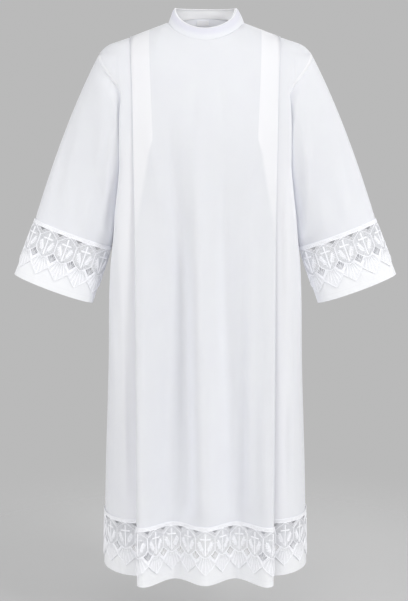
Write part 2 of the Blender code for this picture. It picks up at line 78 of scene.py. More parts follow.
class Channel:
    """A socket of a material. Python's operators add the Math nodes for it."""

    def __init__(self, finish, socket):
        self.finish = finish
        self.socket = socket

    def math(self, operation, *values):
        return self.finish.node("ShaderNodeMath", {"operation": operation}, dict(enumerate(values)))

    def __add__(self, other):
        return self.math("ADD", self, other)

    def __sub__(self, other):
        return self.math("SUBTRACT", self, other)

    def __rsub__(self, other):
        return self.math("SUBTRACT", other, self)

    def __mul__(self, other):
        return self.math("MULTIPLY", self, other)

    def __truediv__(self, other):
        return self.math("DIVIDE", self, other)

    def __pow__(self, other):
        return self.math("POWER", self, other)

    def __lt__(self, other):
        return self.math("LESS_THAN", self, other)

    def __gt__(self, other):
        return self.math("GREATER_THAN", self, other)

    def __abs__(self):
        return self.math("ABSOLUTE", self)

    __radd__ = __add__
    __rmul__ = __mul__


class Finish:
    """A material with one Principled shader, and what varies over its surface."""

    def __init__(self, name, **constants):
        self.material = bpy.data.materials.new(name)
        self.material.use_nodes = True
        self.tree = self.material.node_tree
        self.shader = self.tree.nodes["Principled BSDF"]
        for socket, value in constants.items():
            self.shader.inputs[socket.replace("_", " ")].default_value = value

    def node(self, kind, settings, inputs, output=0):
        made = self.tree.nodes.new(kind)
        stops = settings.pop("stops", ())
        for key, value in settings.items():
            setattr(made, key, value)
        for k, (place, colour) in enumerate(stops):
            ramp = made.color_ramp.elements
            stop = ramp[k] if k < 2 else ramp.new(place)
            stop.position = place
            stop.color = (*colour, 1.0)
        for key, value in inputs.items():
            if isinstance(value, Channel):
                self.tree.links.new(value.socket, made.inputs[key])
            else:
                made.inputs[key].default_value = value
        return Channel(self, made.outputs[output])

    def feed(self, socket, channel):
        self.tree.links.new(channel.socket, self.shader.inputs[socket])

    def blend(self, share, first, second):
        """Colour between two others."""
        return self.node("ShaderNodeMix", {"data_type": "RGBA"}, {0: share, 6: first, 7: second}, 2)

    def step(self, value, low, high):
        """Smooth rise from 0 at low to 1 at high."""
        return self.node("ShaderNodeMapRange", {"interpolation_type": "SMOOTHSTEP"},
                         {"Value": value, "From Min": low, "From Max": high})


def weave(finish, threads, depth):
    """Bump of a plain weave, threads to the metre, over slow unevenness of the cloth."""
    place = finish.node("ShaderNodeUVMap", {"uv_map": "cloth"}, {})
    across = finish.node("ShaderNodeSeparateXYZ", {}, {0: place}, 0)
    down = finish.node("ShaderNodeSeparateXYZ", {}, {0: place}, 1)
    warp = (across * (threads * 2 * math.pi)).math("SINE", across * (threads * 2 * math.pi))
    weft = (down * (threads * 2 * math.pi)).math("SINE", down * (threads * 2 * math.pi))
    body = finish.node("ShaderNodeTexCoord", {}, {}, "Object")
    slub = finish.node("ShaderNodeTexNoise", {"noise_dimensions": "3D"},
                       {"Vector": body, "Scale": 420.0, "Detail": 3.0})
    soft = finish.node("ShaderNodeTexNoise", {"noise_dimensions": "3D"},
                       {"Vector": body, "Scale": 14.0, "Detail": 2.0})
    height = warp * weft * 0.5 + slub * 0.8
    bump = finish.node("ShaderNodeBump", {}, {"Strength": 0.35, "Distance": depth, "Height": height})
    finish.feed("Normal", bump)
    return slub, soft, body


def stitches(finish, along, away):
    """A row of stitches where away is near 0: 1 on the thread and 0 beside it."""
    thread = 1 - finish.step(abs(away), 0.00020, 0.00035)
    gap = (along / STITCH).math("PINGPONG", along / STITCH, 0.5)
    return thread * finish.step(gap, 0.06, 0.12)


STITCH = 0.0026
CLOTH_WHITE = (0.825, 0.842, 0.885, 1.0)
CLOTH_SHADE = (0.770, 0.772, 0.845, 1.0)
# The next colour is the cloth painted lighter: painted light on the pleats' strips, beside the pleats, along the
# armholes and on the neckband's rim.
CLOTH_PAINTED_LIGHT = (0.935, 0.935, 0.985, 1.0)
white_cloth = Finish("white_cloth", Roughness=0.82, Sheen_Weight=0.15, Specular_IOR_Level=0.25, Subsurface_Weight=0.4,
                     Subsurface_Radius=(0.9, 0.9, 1.0), Subsurface_Scale=0.008)
slub, soft, body = weave(white_cloth, 1400, 0.00012)
plain = white_cloth.blend(soft * 0.55 + slub * 0.25, CLOTH_WHITE, CLOTH_SHADE)
white_cloth.feed("Base Color", plain)
white_cloth.feed("Roughness", 0.76 + slub * 0.12)

# ---------------------------------------------------------------- front and back
# Two wide panels joined at the shoulders and the sides. Each has a deep pleat pressed from
# either shoulder to the hem, and hangs in soft waves between the pleats.
HEM = -1.405
BORDER = 0.153                 # lace and hem band together
UNDERLAP = 0.004               # cloth that goes on under the top of the lace
NECK_X = 0.0925
SHOULDER_X = 0.266
SHOULDER_SLOPE = 0.35
TIP_START, TIP_DROP = 0.225, 240
SHOULDER_ROUND = 0.13
ARM_TOP, ARM_LOW = -0.0773, -0.350
ARM_IN, ARM_SPREAD = 0.203, 0.44
ARM_FRONT, ARM_BACK, ARM_SQUARE = 0.083, 0.090, 0.24
NECK_COLUMNS, SEAM_COLUMNS, FOLD_COLUMNS = 26, 12, 5
SIDE_COLUMNS = 44
PANEL_ROWS = 110
CLOTH = 0.0011

LEVEL = ("height", "side_x", "corner_x", "middle", "edge", "side", "pleat", "under", "wave")
FRONT = np.array((
    (0.00, 0.203, 0.215, 0.088, 0.0770, 0.0752, 0.188, 0.046, 0.000),
    (-0.13, 0.203, 0.224, 0.115, 0.0960, 0.0928, 0.179, 0.046, 0.000),
    (-0.25, 0.203, 0.245, 0.134, 0.1120, 0.1078, 0.176, 0.046, 0.000),
    (-0.36, 0.2035, 0.2575, 0.136, 0.1140, 0.1085, 0.175, 0.046, 0.001),
    (-0.49, 0.214, 0.2815, 0.133, 0.1130, 0.1070, 0.174, 0.046, 0.005),
    (-0.60, 0.238, 0.276, 0.132, 0.1150, 0.1070, 0.174, 0.046, 0.008),
    (-0.85, 0.249, 0.270, 0.134, 0.1240, 0.1080, 0.174, 0.045, 0.015),
    (-1.12, 0.262, 0.272, 0.140, 0.1380, 0.1080, 0.174, 0.043, 0.021),
    (HEM, 0.271, 0.275, 0.146, 0.1560, 0.1060, 0.174, 0.040, 0.025)))
BACK = np.array((
    (0.00, 0.203, 0.215, 0.080, 0.0770, 0.0752, 0.188, 0.046, 0.000),
    (-0.13, 0.203, 0.224, 0.114, 0.1005, 0.0975, 0.179, 0.046, 0.000),
    (-0.25, 0.203, 0.236, 0.130, 0.1160, 0.1110, 0.176, 0.046, 0.000),
    (-0.36, 0.2035, 0.246, 0.132, 0.1160, 0.1100, 0.175, 0.046, 0.001),
    (-0.49, 0.214, 0.262, 0.130, 0.1150, 0.1080, 0.174, 0.046, 0.005),
    (-0.60, 0.238, 0.268, 0.131, 0.1170, 0.1080, 0.174, 0.046, 0.008),
    (-0.85, 0.249, 0.268, 0.136, 0.1260, 0.1080, 0.174, 0.045, 0.015),
    (-1.12, 0.262, 0.272, 0.144, 0.1380, 0.1080, 0.172, 0.043, 0.021),
    (HEM, 0.271, 0.275, 0.152, 0.1520, 0.1050, 0.170, 0.040, 0.024)))
FRONT_WAVES, BACK_WAVES = 1.0, 1.5
CORNER_PULL, SIDE_PULL, SIDE_EASE, CAP_LEAN = 0.75, 0.15, 0.12, 0.8
SHOULDER_PULL, SHOULDER_EASE = 0.55, 0.10
CORNER_START, CORNER_EASE = -0.135, 0.058
FOLD_RADIUS, HEM_RADIUS = 0.004, 0.017
HEM_PULL = 0.50
NECKLINE = dict(side=0.0925, front=0.080, back=0.066, side_z=0.0, front_z=-0.048, back_z=0.019,
                dip=1.6)


def level(table, height):
    """What a panel's table gives at each height, on smooth curves."""
    heights, values = table[:, 0], table[:, 1:]
    last = len(heights) - 1
    height = np.atleast_1d(height)
    k = np.clip(np.searchsorted(-heights, -height, side="right") - 1, 0, last - 1)
    before, after = np.maximum(np.arange(last + 1) - 1, 0), np.minimum(np.arange(last + 1) + 1, last)
    slopes = (values[after] - values[before]) / (heights[after] - heights[before])[:, None]
    span = (heights[k + 1] - heights[k])[:, None]
    t = np.clip((height - heights[k]) / span[:, 0], 0, 1)[:, None]
    rise = t * t * (3 - 2 * t)
    curve = (values[k] * (1 - rise) + values[k + 1] * rise
             + span * (slopes[k] * t * (1 - t) ** 2 + slopes[k + 1] * t * t * (t - 1)))
    at = dict(zip(LEVEL[1:], curve.T))
    at["bend"] = FOLD_RADIUS + (HEM_RADIUS - FOLD_RADIUS) * np.clip(height / HEM, 0, 1) ** 3
    return at


def pleat_line(at, waves, j):
    """x, forward reach and depth in the pleat of column j, from the middle outwards."""
    centre = NECK_COLUMNS + SEAM_COLUMNS
    front_edge = at["edge"] + at["wave"] * math.cos(2 * math.pi * waves)
    gap = front_edge - at["side"]
    bend = np.minimum(at["bend"], gap / 4)
    if j < centre:
        share = j / centre
        forward = at["middle"] + (at["edge"] - at["middle"]) * share ** 2
        forward = forward + at["wave"] * math.cos(2 * math.pi * waves * share)
        return (at["pleat"] - bend) * share, forward, 0 * gap
    k = j - centre
    if k <= FOLD_COLUMNS:
        turn = math.pi * k / FOLD_COLUMNS
        depth = bend * (1 - math.cos(turn))
        return at["pleat"] - bend + bend * math.sin(turn), front_edge - depth, depth
    k -= FOLD_COLUMNS + 1
    if k <= FOLD_COLUMNS:
        turn = math.pi * k / FOLD_COLUMNS
        depth = gap - bend * (1 + math.cos(turn))
        inner = at["pleat"] - at["under"] + bend - bend * math.sin(turn)
        return inner, front_edge - depth, depth
    return at["pleat"], at["side"], gap


def shoulder_height(x):
    return -SHOULDER_SLOPE * (x - NECK_X) - TIP_DROP * np.maximum(0.0, x - TIP_START) ** 3


def tip_height(x):
    """The shoulder seam beyond the pleat lies a layer lower until the tip."""
    layer = (FRONT[0, 4] - FRONT[0, 5]) * (SHOULDER_X - x) / (SHOULDER_X - FRONT[0, 6])
    return shoulder_height(x) - layer


def loop_points(loop, turn):
    """Points of the neckline, or of another loop like it, turn being 0 at the front."""
    forward = np.cos(turn)
    reach = np.where(forward > 0, loop["front"], loop["back"])
    end_z = np.where(forward > 0, loop["front_z"], loop["back_z"])
    z = loop["side_z"] + (end_z - loop["side_z"]) * np.abs(forward) ** loop["dip"]
    return np.stack((loop["side"] * np.sin(turn), -forward * reach, z), -1)


def armhole_points(turn, reach):
    """Points of the left armhole, turn being 0 at the shoulder tip and half a turn below."""
    z = (ARM_TOP + ARM_LOW) / 2 + (ARM_TOP - ARM_LOW) / 2 * np.cos(turn)
    share = np.maximum(0, 1 - (1 - np.cos(turn)) / 2 / ARM_SPREAD)
    spread = (SHOULDER_X - ARM_IN) * share * share * (3 - 2 * share)
    reach = reach * (1 + ARM_SQUARE * np.maximum(0, np.cos(turn)) * np.abs(np.sin(turn)))
    return np.stack((ARM_IN + spread, -reach * np.sin(turn), z), -1)


def side_points(table, facing, reach, inside, across, height):
    """Points of a column between the pleat, where across is 0, and the side, where it is 1."""
    at = level(table, height)
    pleat_x = table[0, LEVEL.index("pleat")]
    seam_x = np.linspace(SHOULDER_X, NECK_X, 400)
    end_x = np.interp(height, tip_height(seam_x), seam_x)
    on_seam = np.stack((np.maximum(end_x, inside[:, 0]), 0 * height, height), -1)
    lift = (height - (ARM_TOP + ARM_LOW) / 2) / ((ARM_TOP - ARM_LOW) / 2)
    turn = np.arccos(np.clip(lift, -1, 1))
    on_arm = armhole_points(turn, reach) * (1, -facing, 1)
    on_side = np.stack((at["side_x"], 0 * height, height), -1)
    high, low = height > ARM_TOP, height <= ARM_LOW
    end = np.where(high[:, None], on_seam, np.where(low[:, None], on_side, on_arm))
    width = np.where(high, (end_x - pleat_x) / (SHOULDER_X - pleat_x), 1.0)
    below = np.clip((ARM_TOP - height) / SHOULDER_EASE, 0, 1)
    lean = CAP_LEAN * np.maximum(0, np.sin(2 * turn)) * np.abs(inside[:, 1] - end[:, 1])
    lean = np.where(high | low, 0, lean * below)
    drawn = np.clip((CORNER_START - height) / CORNER_EASE, 0, 1)
    drawn = drawn * drawn * (3 - 2 * drawn)
    corner_x = end[:, 0] + drawn * np.maximum(0, at["corner_x"] - end[:, 0])
    pull = SIDE_PULL * np.minimum(1, np.abs(height - ARM_LOW) / SIDE_EASE)
    corner = np.stack((corner_x, inside[:, 1], height), -1)
    beside = np.stack((end[:, 0] + (corner_x - end[:, 0]) * pull - lean, inside[:, 1], height), -1)
    square = SHOULDER_PULL + (CORNER_PULL - SHOULDER_PULL) * below
    square = square + (HEM_PULL - CORNER_PULL) * np.clip((height + 0.8) / (HEM + 0.8), 0, 1)
    square = square[:, None]
    first = inside + (corner - inside) * square
    second = end + (beside - end) * square
    share = np.clip(across / np.maximum(width, 1e-6), 0, 1)[:, None]
    rest = 1 - share
    return (inside * rest ** 3 + first * 3 * share * rest ** 2
            + second * 3 * share ** 2 * rest + end * share ** 3)


def settled(fall, soft_share):
    """How far the cloth has come round from the shoulder to the chest after a fall."""
    q = np.clip(fall / SHOULDER_ROUND, 0, 1)
    gentle = 1 - (1 - q) ** 2
    return gentle + (np.sqrt(gentle) - gentle) * (1 - soft_share)


def top_edge(table, waves, facing):
    """Half a panel's top edge: neckline, shoulder seam with its pleat, and on to the tip."""
    turns = np.arange(NECK_COLUMNS + 1) * math.pi / 2 / NECK_COLUMNS
    edge = list(loop_points(NECKLINE, turns if facing < 0 else math.pi - turns))
    first = NECK_COLUMNS + SEAM_COLUMNS
    at = level(table, 0.0)
    ring = [[float(np.atleast_1d(v)[0]) for v in pleat_line(at, waves, j)]
            for j in range(first, first + 2 * FOLD_COLUMNS + 3)]
    for j in range(1, SEAM_COLUMNS):
        x = NECK_X + (ring[0][0] - NECK_X) * j / SEAM_COLUMNS
        edge.append(np.array((x, 0.0, shoulder_height(x))))
    edge += [np.array((x, 0.0, shoulder_height(x) - layer)) for x, forward, layer in ring]
    for j in range(1, SIDE_COLUMNS + 1):
        x = ring[-1][0] + (SHOULDER_X - ring[-1][0]) * j / SIDE_COLUMNS
        edge.append(np.array((x, 0.0, tip_height(x))))
    return edge


def panel(table, waves, facing, reach):
    """The whole panel as a grid [row, column, xyz], columns from the wearer's right."""
    edge = top_edge(table, waves, facing)
    inside = NECK_COLUMNS + SEAM_COLUMNS + 2 * FOLD_COLUMNS + 2
    share = (np.arange(PANEL_ROWS + 1) / PANEL_ROWS) ** 1.5
    half = []
    for j, start in enumerate(edge):
        z = start[2] + (HEM + BORDER - UNDERLAP - start[2]) * share
        column = min(j, inside)
        top = edge[column]
        x, forward, _ = pleat_line(level(table, z), waves, column)
        x0, forward0, _ = pleat_line(level(table, top[2]), waves, column)
        away = np.array((top[0] - x0[0], top[1] - facing * forward0[0], 0.0))
        soft_share = max(0.0, 1 - column / NECK_COLUMNS)
        rest = 1 - settled(np.maximum(0, top[2] - z), soft_share)
        points = np.stack((x, facing * forward, z), -1) + away * rest[:, None]
        if j > inside:
            across = (j - inside) / SIDE_COLUMNS
            points = side_points(table, facing, reach, points, across, z)
        points[0] = start
        half.append(points)
    half = np.stack(half, 1)
    return np.concatenate((half[:, :0:-1] * (-1, 1, 1), half), 1)


def facing_of(grid, closed=False):
    """Unit normals of a grid whose rows run down and whose points run along, from outside."""
    down = np.gradient(grid, axis=0)
    if closed:
        along = np.roll(grid, -1, 1) - np.roll(grid, 1, 1)
    else:
        along = np.gradient(grid, axis=1)
    normal = np.cross(down, along)
    return normal / np.maximum(np.linalg.norm(normal, axis=-1, keepdims=True), 1e-9)


def shell(name, grid, thickness, finish, closed=False, rim=0.0, fold=None, lining=None):
    """A closed cloth wall under a grid of points, with another finish inside if it is lined.

    Its map "cloth" holds the place on the flat cloth, and "edge" the distance from the
    nearer side and, where there is a fold this many columns from the middle, from the fold.
    """
    rows, count = grid.shape[:2]
    normal = facing_of(grid, closed)
    if not closed:
        wide = np.pad(normal, ((1, 1), (1, 1), (0, 0)), "edge")
        normal = wide[:-2, 1:-1] + wide[2:, 1:-1] + wide[1:-1, :-2] + wide[1:-1, 2:] + 2 * normal
        normal = normal / np.linalg.norm(normal, axis=-1, keepdims=True)
    under = grid - normal * thickness
    points = np.concatenate((grid.reshape(-1, 3), under.reshape(-1, 3)))
    i, j = np.meshgrid(np.arange(rows - 1), np.arange(count if closed else count - 1),
                       indexing="ij")
    i, j = i.ravel(), j.ravel()
    k = (j + 1) % count
    a, b, c, d = i * count + j, (i + 1) * count + j, (i + 1) * count + k, i * count + k
    outer = np.stack((a, b, c, d), -1)
    n = rows * count
    rims = []
    ends = [np.arange(count), (rows - 1) * count + np.arange(count)]
    for line, flip in zip(ends, (False, True)):
        here = line if closed else line[:-1]
        there = np.roll(line, -1) if closed else line[1:]
        quad = np.stack((here, there, there + n, here + n), -1)
        rims.append(quad[:, ::-1] if flip else quad)
    if not closed:
        for line, flip in ((np.arange(rows) * count, True),
                           (np.arange(rows) * count + count - 1, False)):
            quad = np.stack((line[:-1], line[1:], line[1:] + n, line[:-1] + n), -1)
            rims.append(quad[:, ::-1] if flip else quad)
    faces = np.concatenate([outer, outer[:, ::-1] + n] + rims)
    mesh = bpy.data.meshes.new(name)
    mesh.from_pydata(points.tolist(), [], faces.tolist())
    step = np.linalg.norm(np.diff(grid, axis=1), axis=-1)
    along = np.concatenate((np.zeros((rows, 1)), np.cumsum(step, 1)), 1)
    along -= along[:, [count // 2]]
    fall = np.linalg.norm(np.diff(grid, axis=0), axis=-1)
    down = np.concatenate((np.zeros((1, count)), np.cumsum(fall, 0)), 0)
    place = np.stack((along, -down), -1).reshape(-1, 2)
    place = np.concatenate((place, place))
    side, from_fold = 0 * along, 0 * along
    if fold:
        stations = np.linspace(0, rows - 1, 500)
        ends = np.concatenate([np.stack([np.interp(stations, np.arange(rows), end[:, axis])
                                         for axis in range(3)], -1)
                               for end in (grid[:, 0], grid[:, -1])])
        side = np.array([np.linalg.norm(row[:, None] - ends, axis=-1).min(1) for row in grid])
        right, left = along[:, [count // 2 - fold]], along[:, [count // 2 + fold]]
        from_fold = np.maximum(right - along, along - left)
    edge = np.stack((side, from_fold), -1).reshape(-1, 2)
    edge = np.concatenate((edge, edge))
    corners = np.zeros(len(mesh.loops), dtype=np.int64)
    mesh.loops.foreach_get("vertex_index", corners)
    for key, values in (("cloth", place), ("edge", edge)):
        layer = mesh.uv_layers.new(name=key)
        layer.data.foreach_set("uv", values[corners].ravel())
    mesh.materials.append(finish.material)
    if lining:
        mesh.materials.append(lining.material)
        for k in range(len(outer), 2 * len(outer)):
            mesh.polygons[k].material_index = 1
    piece = bpy.data.objects.new(name, mesh)
    bpy.context.scene.collection.objects.link(piece)
    if rim:
        bevel = piece.modifiers.new("rim", "BEVEL")
        bevel.width, bevel.segments, bevel.angle_limit = rim, 2, math.radians(60)
    mesh.shade_smooth()
    mesh.set_sharp_from_angle(angle=math.radians(60))
    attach(piece, "root")
    return piece


def creased(grid, creases, places, closed=False):
    """Press soft creases into a grid. places holds each point's place on the flat cloth, and
    a crease runs from one place to another with a width and a height."""
    lift = np.zeros(grid.shape[:2])
    for x0, z0, x1, z1, width, height in creases:
        along = np.array((x1 - x0, z1 - z0))
        length = np.hypot(*along)
        offset = places - (x0, z0)
        t = offset @ (along / length ** 2)
        away = (offset[..., 0] * along[1] - offset[..., 1] * along[0]) / length
        taper = np.clip(1 - (2 * t - 1) ** 2, 0, 1) ** 1.5
        lift += height * taper * np.exp(-(away / width) ** 2)
    if not closed:
        rest = np.clip((places[..., 1] - HEM - BORDER) / CREASE_EASE, 0, 1)
        lift *= rest * rest * (3 - 2 * rest)
    return grid + facing_of(grid, closed) * lift[..., None]


CREASE_EASE = 0.05             # creases flatten above the lace
# x0 z0 x1 z1 width height: where a crease starts and ends, its half width and its height
FRONT_CREASES = (
    (-0.088, -0.20, -0.054, -0.80, 0.018, -0.0110), (-0.060, -0.40, -0.046, -1.45, 0.019, -0.0160),
    (-0.024, -0.22, 0.004, -1.45, 0.020, 0.0160), (0.046, -0.26, 0.060, -1.00, 0.020, -0.0105),
    (0.062, -0.60, 0.070, -1.45, 0.018, -0.0050), (-0.145, -0.22, -0.100, -0.50, 0.014, 0.0029),
    (0.108, -0.34, 0.117, -1.45, 0.015, 0.0080),
    (0.150, -0.24, 0.080, -0.48, 0.013, 0.0025), (-0.020, -0.12, -0.036, -0.30, 0.012, -0.0014),
    (0.030, -0.10, 0.048, -0.28, 0.012, -0.0016), (-0.150, -0.50, -0.158, -1.10, 0.010, 0.0029),
    (0.140, -0.85, 0.150, -1.26, 0.011, 0.0040), (-0.060, -0.95, -0.052, -1.26, 0.010, 0.0029),
    (-0.235, -0.45, -0.215, -0.95, 0.012, -0.0045),
    (0.232, -0.50, 0.212, -1.05, 0.012, -0.0050), (-0.205, -0.80, -0.200, -1.26, 0.009, 0.0036),
    (0.200, -0.30, 0.204, -0.70, 0.008, 0.0029), (0.215, -0.85, 0.222, -1.26, 0.009, 0.0036),
    (-0.219, -0.06, -0.213, -0.26, 0.003, -0.0016), (0.220, -0.06, 0.213, -0.27, 0.003, -0.0016))
BACK_CREASES = (
    (-0.080, -0.30, -0.110, -1.26, 0.018, -0.0076), (0.075, -0.34, 0.100, -1.26, 0.018, -0.0072),
    (0.006, -0.26, 0.002, -1.10, 0.017, 0.0050), (-0.140, -0.20, -0.085, -0.46, 0.013, 0.0029),
    (0.142, -0.22, 0.090, -0.50, 0.014, 0.0032), (-0.035, -0.60, -0.045, -1.26, 0.012, 0.0040),
    (0.048, -0.70, 0.040, -1.26, 0.012, 0.0036), (0.150, -0.60, 0.155, -1.20, 0.010, 0.0029),
    (-0.150, -0.70, -0.152, -1.26, 0.010, 0.0032), (-0.225, -0.45, -0.212, -1.00, 0.012, -0.0043),
    (0.228, -0.48, 0.214, -1.05, 0.012, -0.0047), (0.030, -0.06, 0.060, -0.24, 0.011, -0.0018))

front_grid = panel(FRONT, FRONT_WAVES, -1, ARM_FRONT)
front_grid = creased(front_grid, FRONT_CREASES, front_grid[..., (0, 2)])
back_grid = panel(BACK, BACK_WAVES, 1, ARM_BACK)[:, ::-1]
back_grid = creased(back_grid, BACK_CREASES, back_grid[..., (0, 2)])

# The pleat's under layers lie behind the front below the shoulders. Their show-through is painted light: brighter
# strips painted into the front's colour.
panel_cloth = Finish("panel_cloth", Roughness=0.82, Sheen_Weight=0.15, Specular_IOR_Level=0.25, Subsurface_Weight=0.4,
                     Subsurface_Radius=(0.9, 0.9, 1.0), Subsurface_Scale=0.008)
slub, soft, body = weave(panel_cloth, 1400, 0.00012)
plain = panel_cloth.blend(soft * 0.55 + slub * 0.25, CLOTH_WHITE, CLOTH_SHADE)
across = abs(panel_cloth.node("ShaderNodeSeparateXYZ", {}, {0: body}, 0))
height = panel_cloth.node("ShaderNodeSeparateXYZ", {}, {0: body}, 2)
taper = 0.0784 - height * 0.167
inner = taper.math("MAXIMUM", taper, 0.1365 + (height + 0.05) * 0.042)
soft_edge = 0.0116 - panel_cloth.step(height, -0.33, -0.27) * 0.0100
strip = panel_cloth.step(across, inner, inner + soft_edge) * panel_cloth.step(height, -0.60, -0.33)
edge_map = panel_cloth.node("ShaderNodeUVMap", {"uv_map": "edge"}, {})
edge = panel_cloth.node("ShaderNodeSeparateXYZ", {}, {0: edge_map}, 0)
from_fold = panel_cloth.node("ShaderNodeSeparateXYZ", {}, {0: edge_map}, 1)
strip = strip * (1 - panel_cloth.step(from_fold, -0.001, 0.001))
# Painted light: the recess beside each pleat, which lies in the pleat's shade, is painted lighter.
beside = panel_cloth.step(from_fold, 0.03, 0.05) * (1 - panel_cloth.step(across, 0.185, 0.235))
strip = strip.math("MAXIMUM", strip, beside * panel_cloth.step(height, -0.20, -0.45) * 0.8)
# Painted light: a band along the armhole, where the seam allowance turns in behind the cloth, is painted lighter.
turned = (1 - panel_cloth.step(edge, 0.0090, 0.0105)) * panel_cloth.step(height, -0.20, -0.17)
strip = strip.math("MAXIMUM", strip, turned)
seam = stitches(panel_cloth, height, edge - 0.0085) * panel_cloth.step(height, -0.20, -0.17)
plain = panel_cloth.blend(seam * 0.6, plain, CLOTH_SHADE)
panel_cloth.feed("Base Color", panel_cloth.blend(strip * 0.8, plain, CLOTH_PAINTED_LIGHT))
panel_cloth.feed("Roughness", 0.76 + slub * 0.12)

for name, grid in (("front", front_grid), ("back", back_grid)):
    fold = NECK_COLUMNS + SEAM_COLUMNS + FOLD_COLUMNS // 2 + 1
    cut = shell(name + "_panel", grid, CLOTH, panel_cloth, fold=fold)
    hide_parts(name)

# ---------------------------------------------------------------- sleeves
# Wide straight sleeves set into the armholes. Each is one piece of cloth, sewn into a tube,
# and ends where the lace of the cuff begins.
CUFF_CENTRE = np.array((0.389, -0.020, -0.664))
CUFF_HALF_WIDTH, CUFF_HALF_DEPTH, CUFF_TAPER = 0.1065, 0.052, 0.96
ARM_ANGLE = math.radians(20.5)
ARM_AXIS = np.array((math.sin(ARM_ANGLE), 0.0, -math.cos(ARM_ANGLE)))
ARM_ACROSS = np.array((math.cos(ARM_ANGLE), 0.0, math.sin(ARM_ANGLE)))
SLEEVE_PULL_OUT, SLEEVE_PULL_IN, SLEEVE_PUFF, SLEEVE_FULL = 0.60, 0.14, 0.006, 0.016
SLEEVE_LAP = 0.0022            # over the body at the armhole
SLEEVE_SQUARE = 0.105          # fullness of the front and back beside the underarm seam
UNDERARM_ROOM = 0.0007
SLEEVE_ROWS, SLEEVE_COLUMNS = 60, 96
SLEEVE_CUT = (0.55, 0.52)      # round the top, and from the shoulder to the lace


def cuff_ring(turn, down):
    """Points of the left cuff's tube, down being the distance from the top of the lace."""
    grow = CUFF_TAPER + (1 - CUFF_TAPER) * down / BORDER
    ring = CUFF_CENTRE - ARM_AXIS * (BORDER - down)
    ring = ring + ARM_ACROSS * (CUFF_HALF_WIDTH * grow * np.cos(turn))[:, None]
    return ring - np.array((0.0, 1.0, 0.0)) * (CUFF_HALF_DEPTH * grow * np.sin(turn))[:, None]


# turn down turn down width height: places round the tube in turns and down it as a share
SLEEVE_CREASES = {
    "left": ((0.16, 0.02, 0.30, 0.40, 0.020, 0.0048), (0.22, 0.00, 0.36, 0.62, 0.016, 0.0042),
             (0.10, 0.30, 0.17, 0.95, 0.020, -0.0045), (0.28, 0.45, 0.30, 1.00, 0.022, 0.0048),
             (0.38, 0.20, 0.44, 0.80, 0.018, -0.0042), (0.18, 0.62, 0.22, 1.02, 0.015, 0.0032),
             (0.62, 0.05, 0.70, 0.55, 0.022, 0.0048), (0.74, 0.10, 0.80, 0.90, 0.020, -0.0045),
             (0.86, 0.30, 0.84, 0.95, 0.018, 0.0038), (0.66, 0.55, 0.68, 1.00, 0.018, -0.0035)),
    "right": ((0.15, 0.03, 0.28, 0.44, 0.022, 0.0051), (0.24, 0.02, 0.37, 0.55, 0.015, 0.0038),
              (0.09, 0.35, 0.15, 0.98, 0.018, -0.0042), (0.27, 0.50, 0.31, 1.02, 0.020, 0.0045),
              (0.39, 0.25, 0.43, 0.85, 0.018, -0.0045), (0.20, 0.66, 0.21, 1.02, 0.014, 0.0029),
              (0.60, 0.04, 0.71, 0.50, 0.020, 0.0045), (0.76, 0.12, 0.80, 0.86, 0.022, -0.0048),
              (0.88, 0.34, 0.85, 0.98, 0.016, 0.0035), (0.64, 0.58, 0.67, 1.00, 0.020, -0.0038))}


def sleeve(creases):
    """The left sleeve's rings from the armhole to the lace."""
    turn = 2 * math.pi * np.arange(SLEEVE_COLUMNS) / SLEEVE_COLUMNS
    start = np.where((turn < math.pi)[:, None], armhole_points(turn, ARM_FRONT),
                     armhole_points(turn, ARM_BACK))
    start[:, 0] += UNDERARM_ROOM * (1 - np.cos(turn)) / 2
    end = cuff_ring(turn, UNDERLAP)
    outside = (1 + np.cos(turn)) / 2
    pull = SLEEVE_PULL_IN + (SLEEVE_PULL_OUT - SLEEVE_PULL_IN) * outside
    length = np.linalg.norm(end - start, axis=-1)
    middle = end - ARM_AXIS * (length * pull)[:, None]
    share = np.linspace(0, 1, SLEEVE_ROWS + 1)[:, None, None]
    rings = start * (1 - share) ** 2 + middle * 2 * share * (1 - share) + end * share ** 2
    rings = rings + ARM_ACROSS * SLEEVE_PUFF * 4 * share * (1 - share) * outside[:, None]
    full = SLEEVE_FULL * np.sin(turn) * (1 - np.cos(turn))
    rings[..., 1:2] -= full[:, None] * np.clip(share / 0.07, 0, 1) * (1 - share) ** 2
    square = np.sign(np.sin(turn)) * (np.abs(np.sin(turn)) ** 0.6 - np.abs(np.sin(turn)))
    square = SLEEVE_SQUARE * square * (1 - np.cos(turn)) / 2
    swell = np.clip(share / 0.12, 0, 1) * np.clip((1 - share) / 0.35, 0, 1)
    rings[..., 1:2] -= square[:, None] * swell * swell * (3 - 2 * swell)
    places = np.stack(np.broadcast_arrays(turn / 2 / math.pi * SLEEVE_CUT[0],
                                          share[..., 0] * SLEEVE_CUT[1]), -1)
    scale = (*SLEEVE_CUT, *SLEEVE_CUT, 1, 1)
    creases = [tuple(np.multiply(crease, scale)) for crease in creases]
    rings = creased(rings[:, ::-1], creases, places[:, ::-1], closed=True)
    inward = rings[:1] - rings[1:2]
    inward = inward / np.linalg.norm(inward, axis=-1, keepdims=True)
    inward = inward + np.abs(np.sin(turn[::-1]))[None, :, None] * (-1.0, 0.0, 0.2)
    inward = inward / np.linalg.norm(inward, axis=-1, keepdims=True)
    top = np.maximum(0, np.cos(turn[::-1]))[None, :, None] ** 12
    lap = rings[:1] + inward * SLEEVE_LAP * (1 + 1.6 * top) + top * (0.0, 0.0, 0.0010)
    return np.concatenate((lap, rings))


left_sleeve = sleeve(SLEEVE_CREASES["left"])
right_sleeve = (sleeve(SLEEVE_CREASES["right"]) * (-1, 1, 1))[:, ::-1]
for side, grid in (("left", left_sleeve), ("right", right_sleeve)):
    tube = shell("sleeve_" + side + "_tube", grid, CLOTH, white_cloth, closed=True)
    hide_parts("sleeve_" + side)

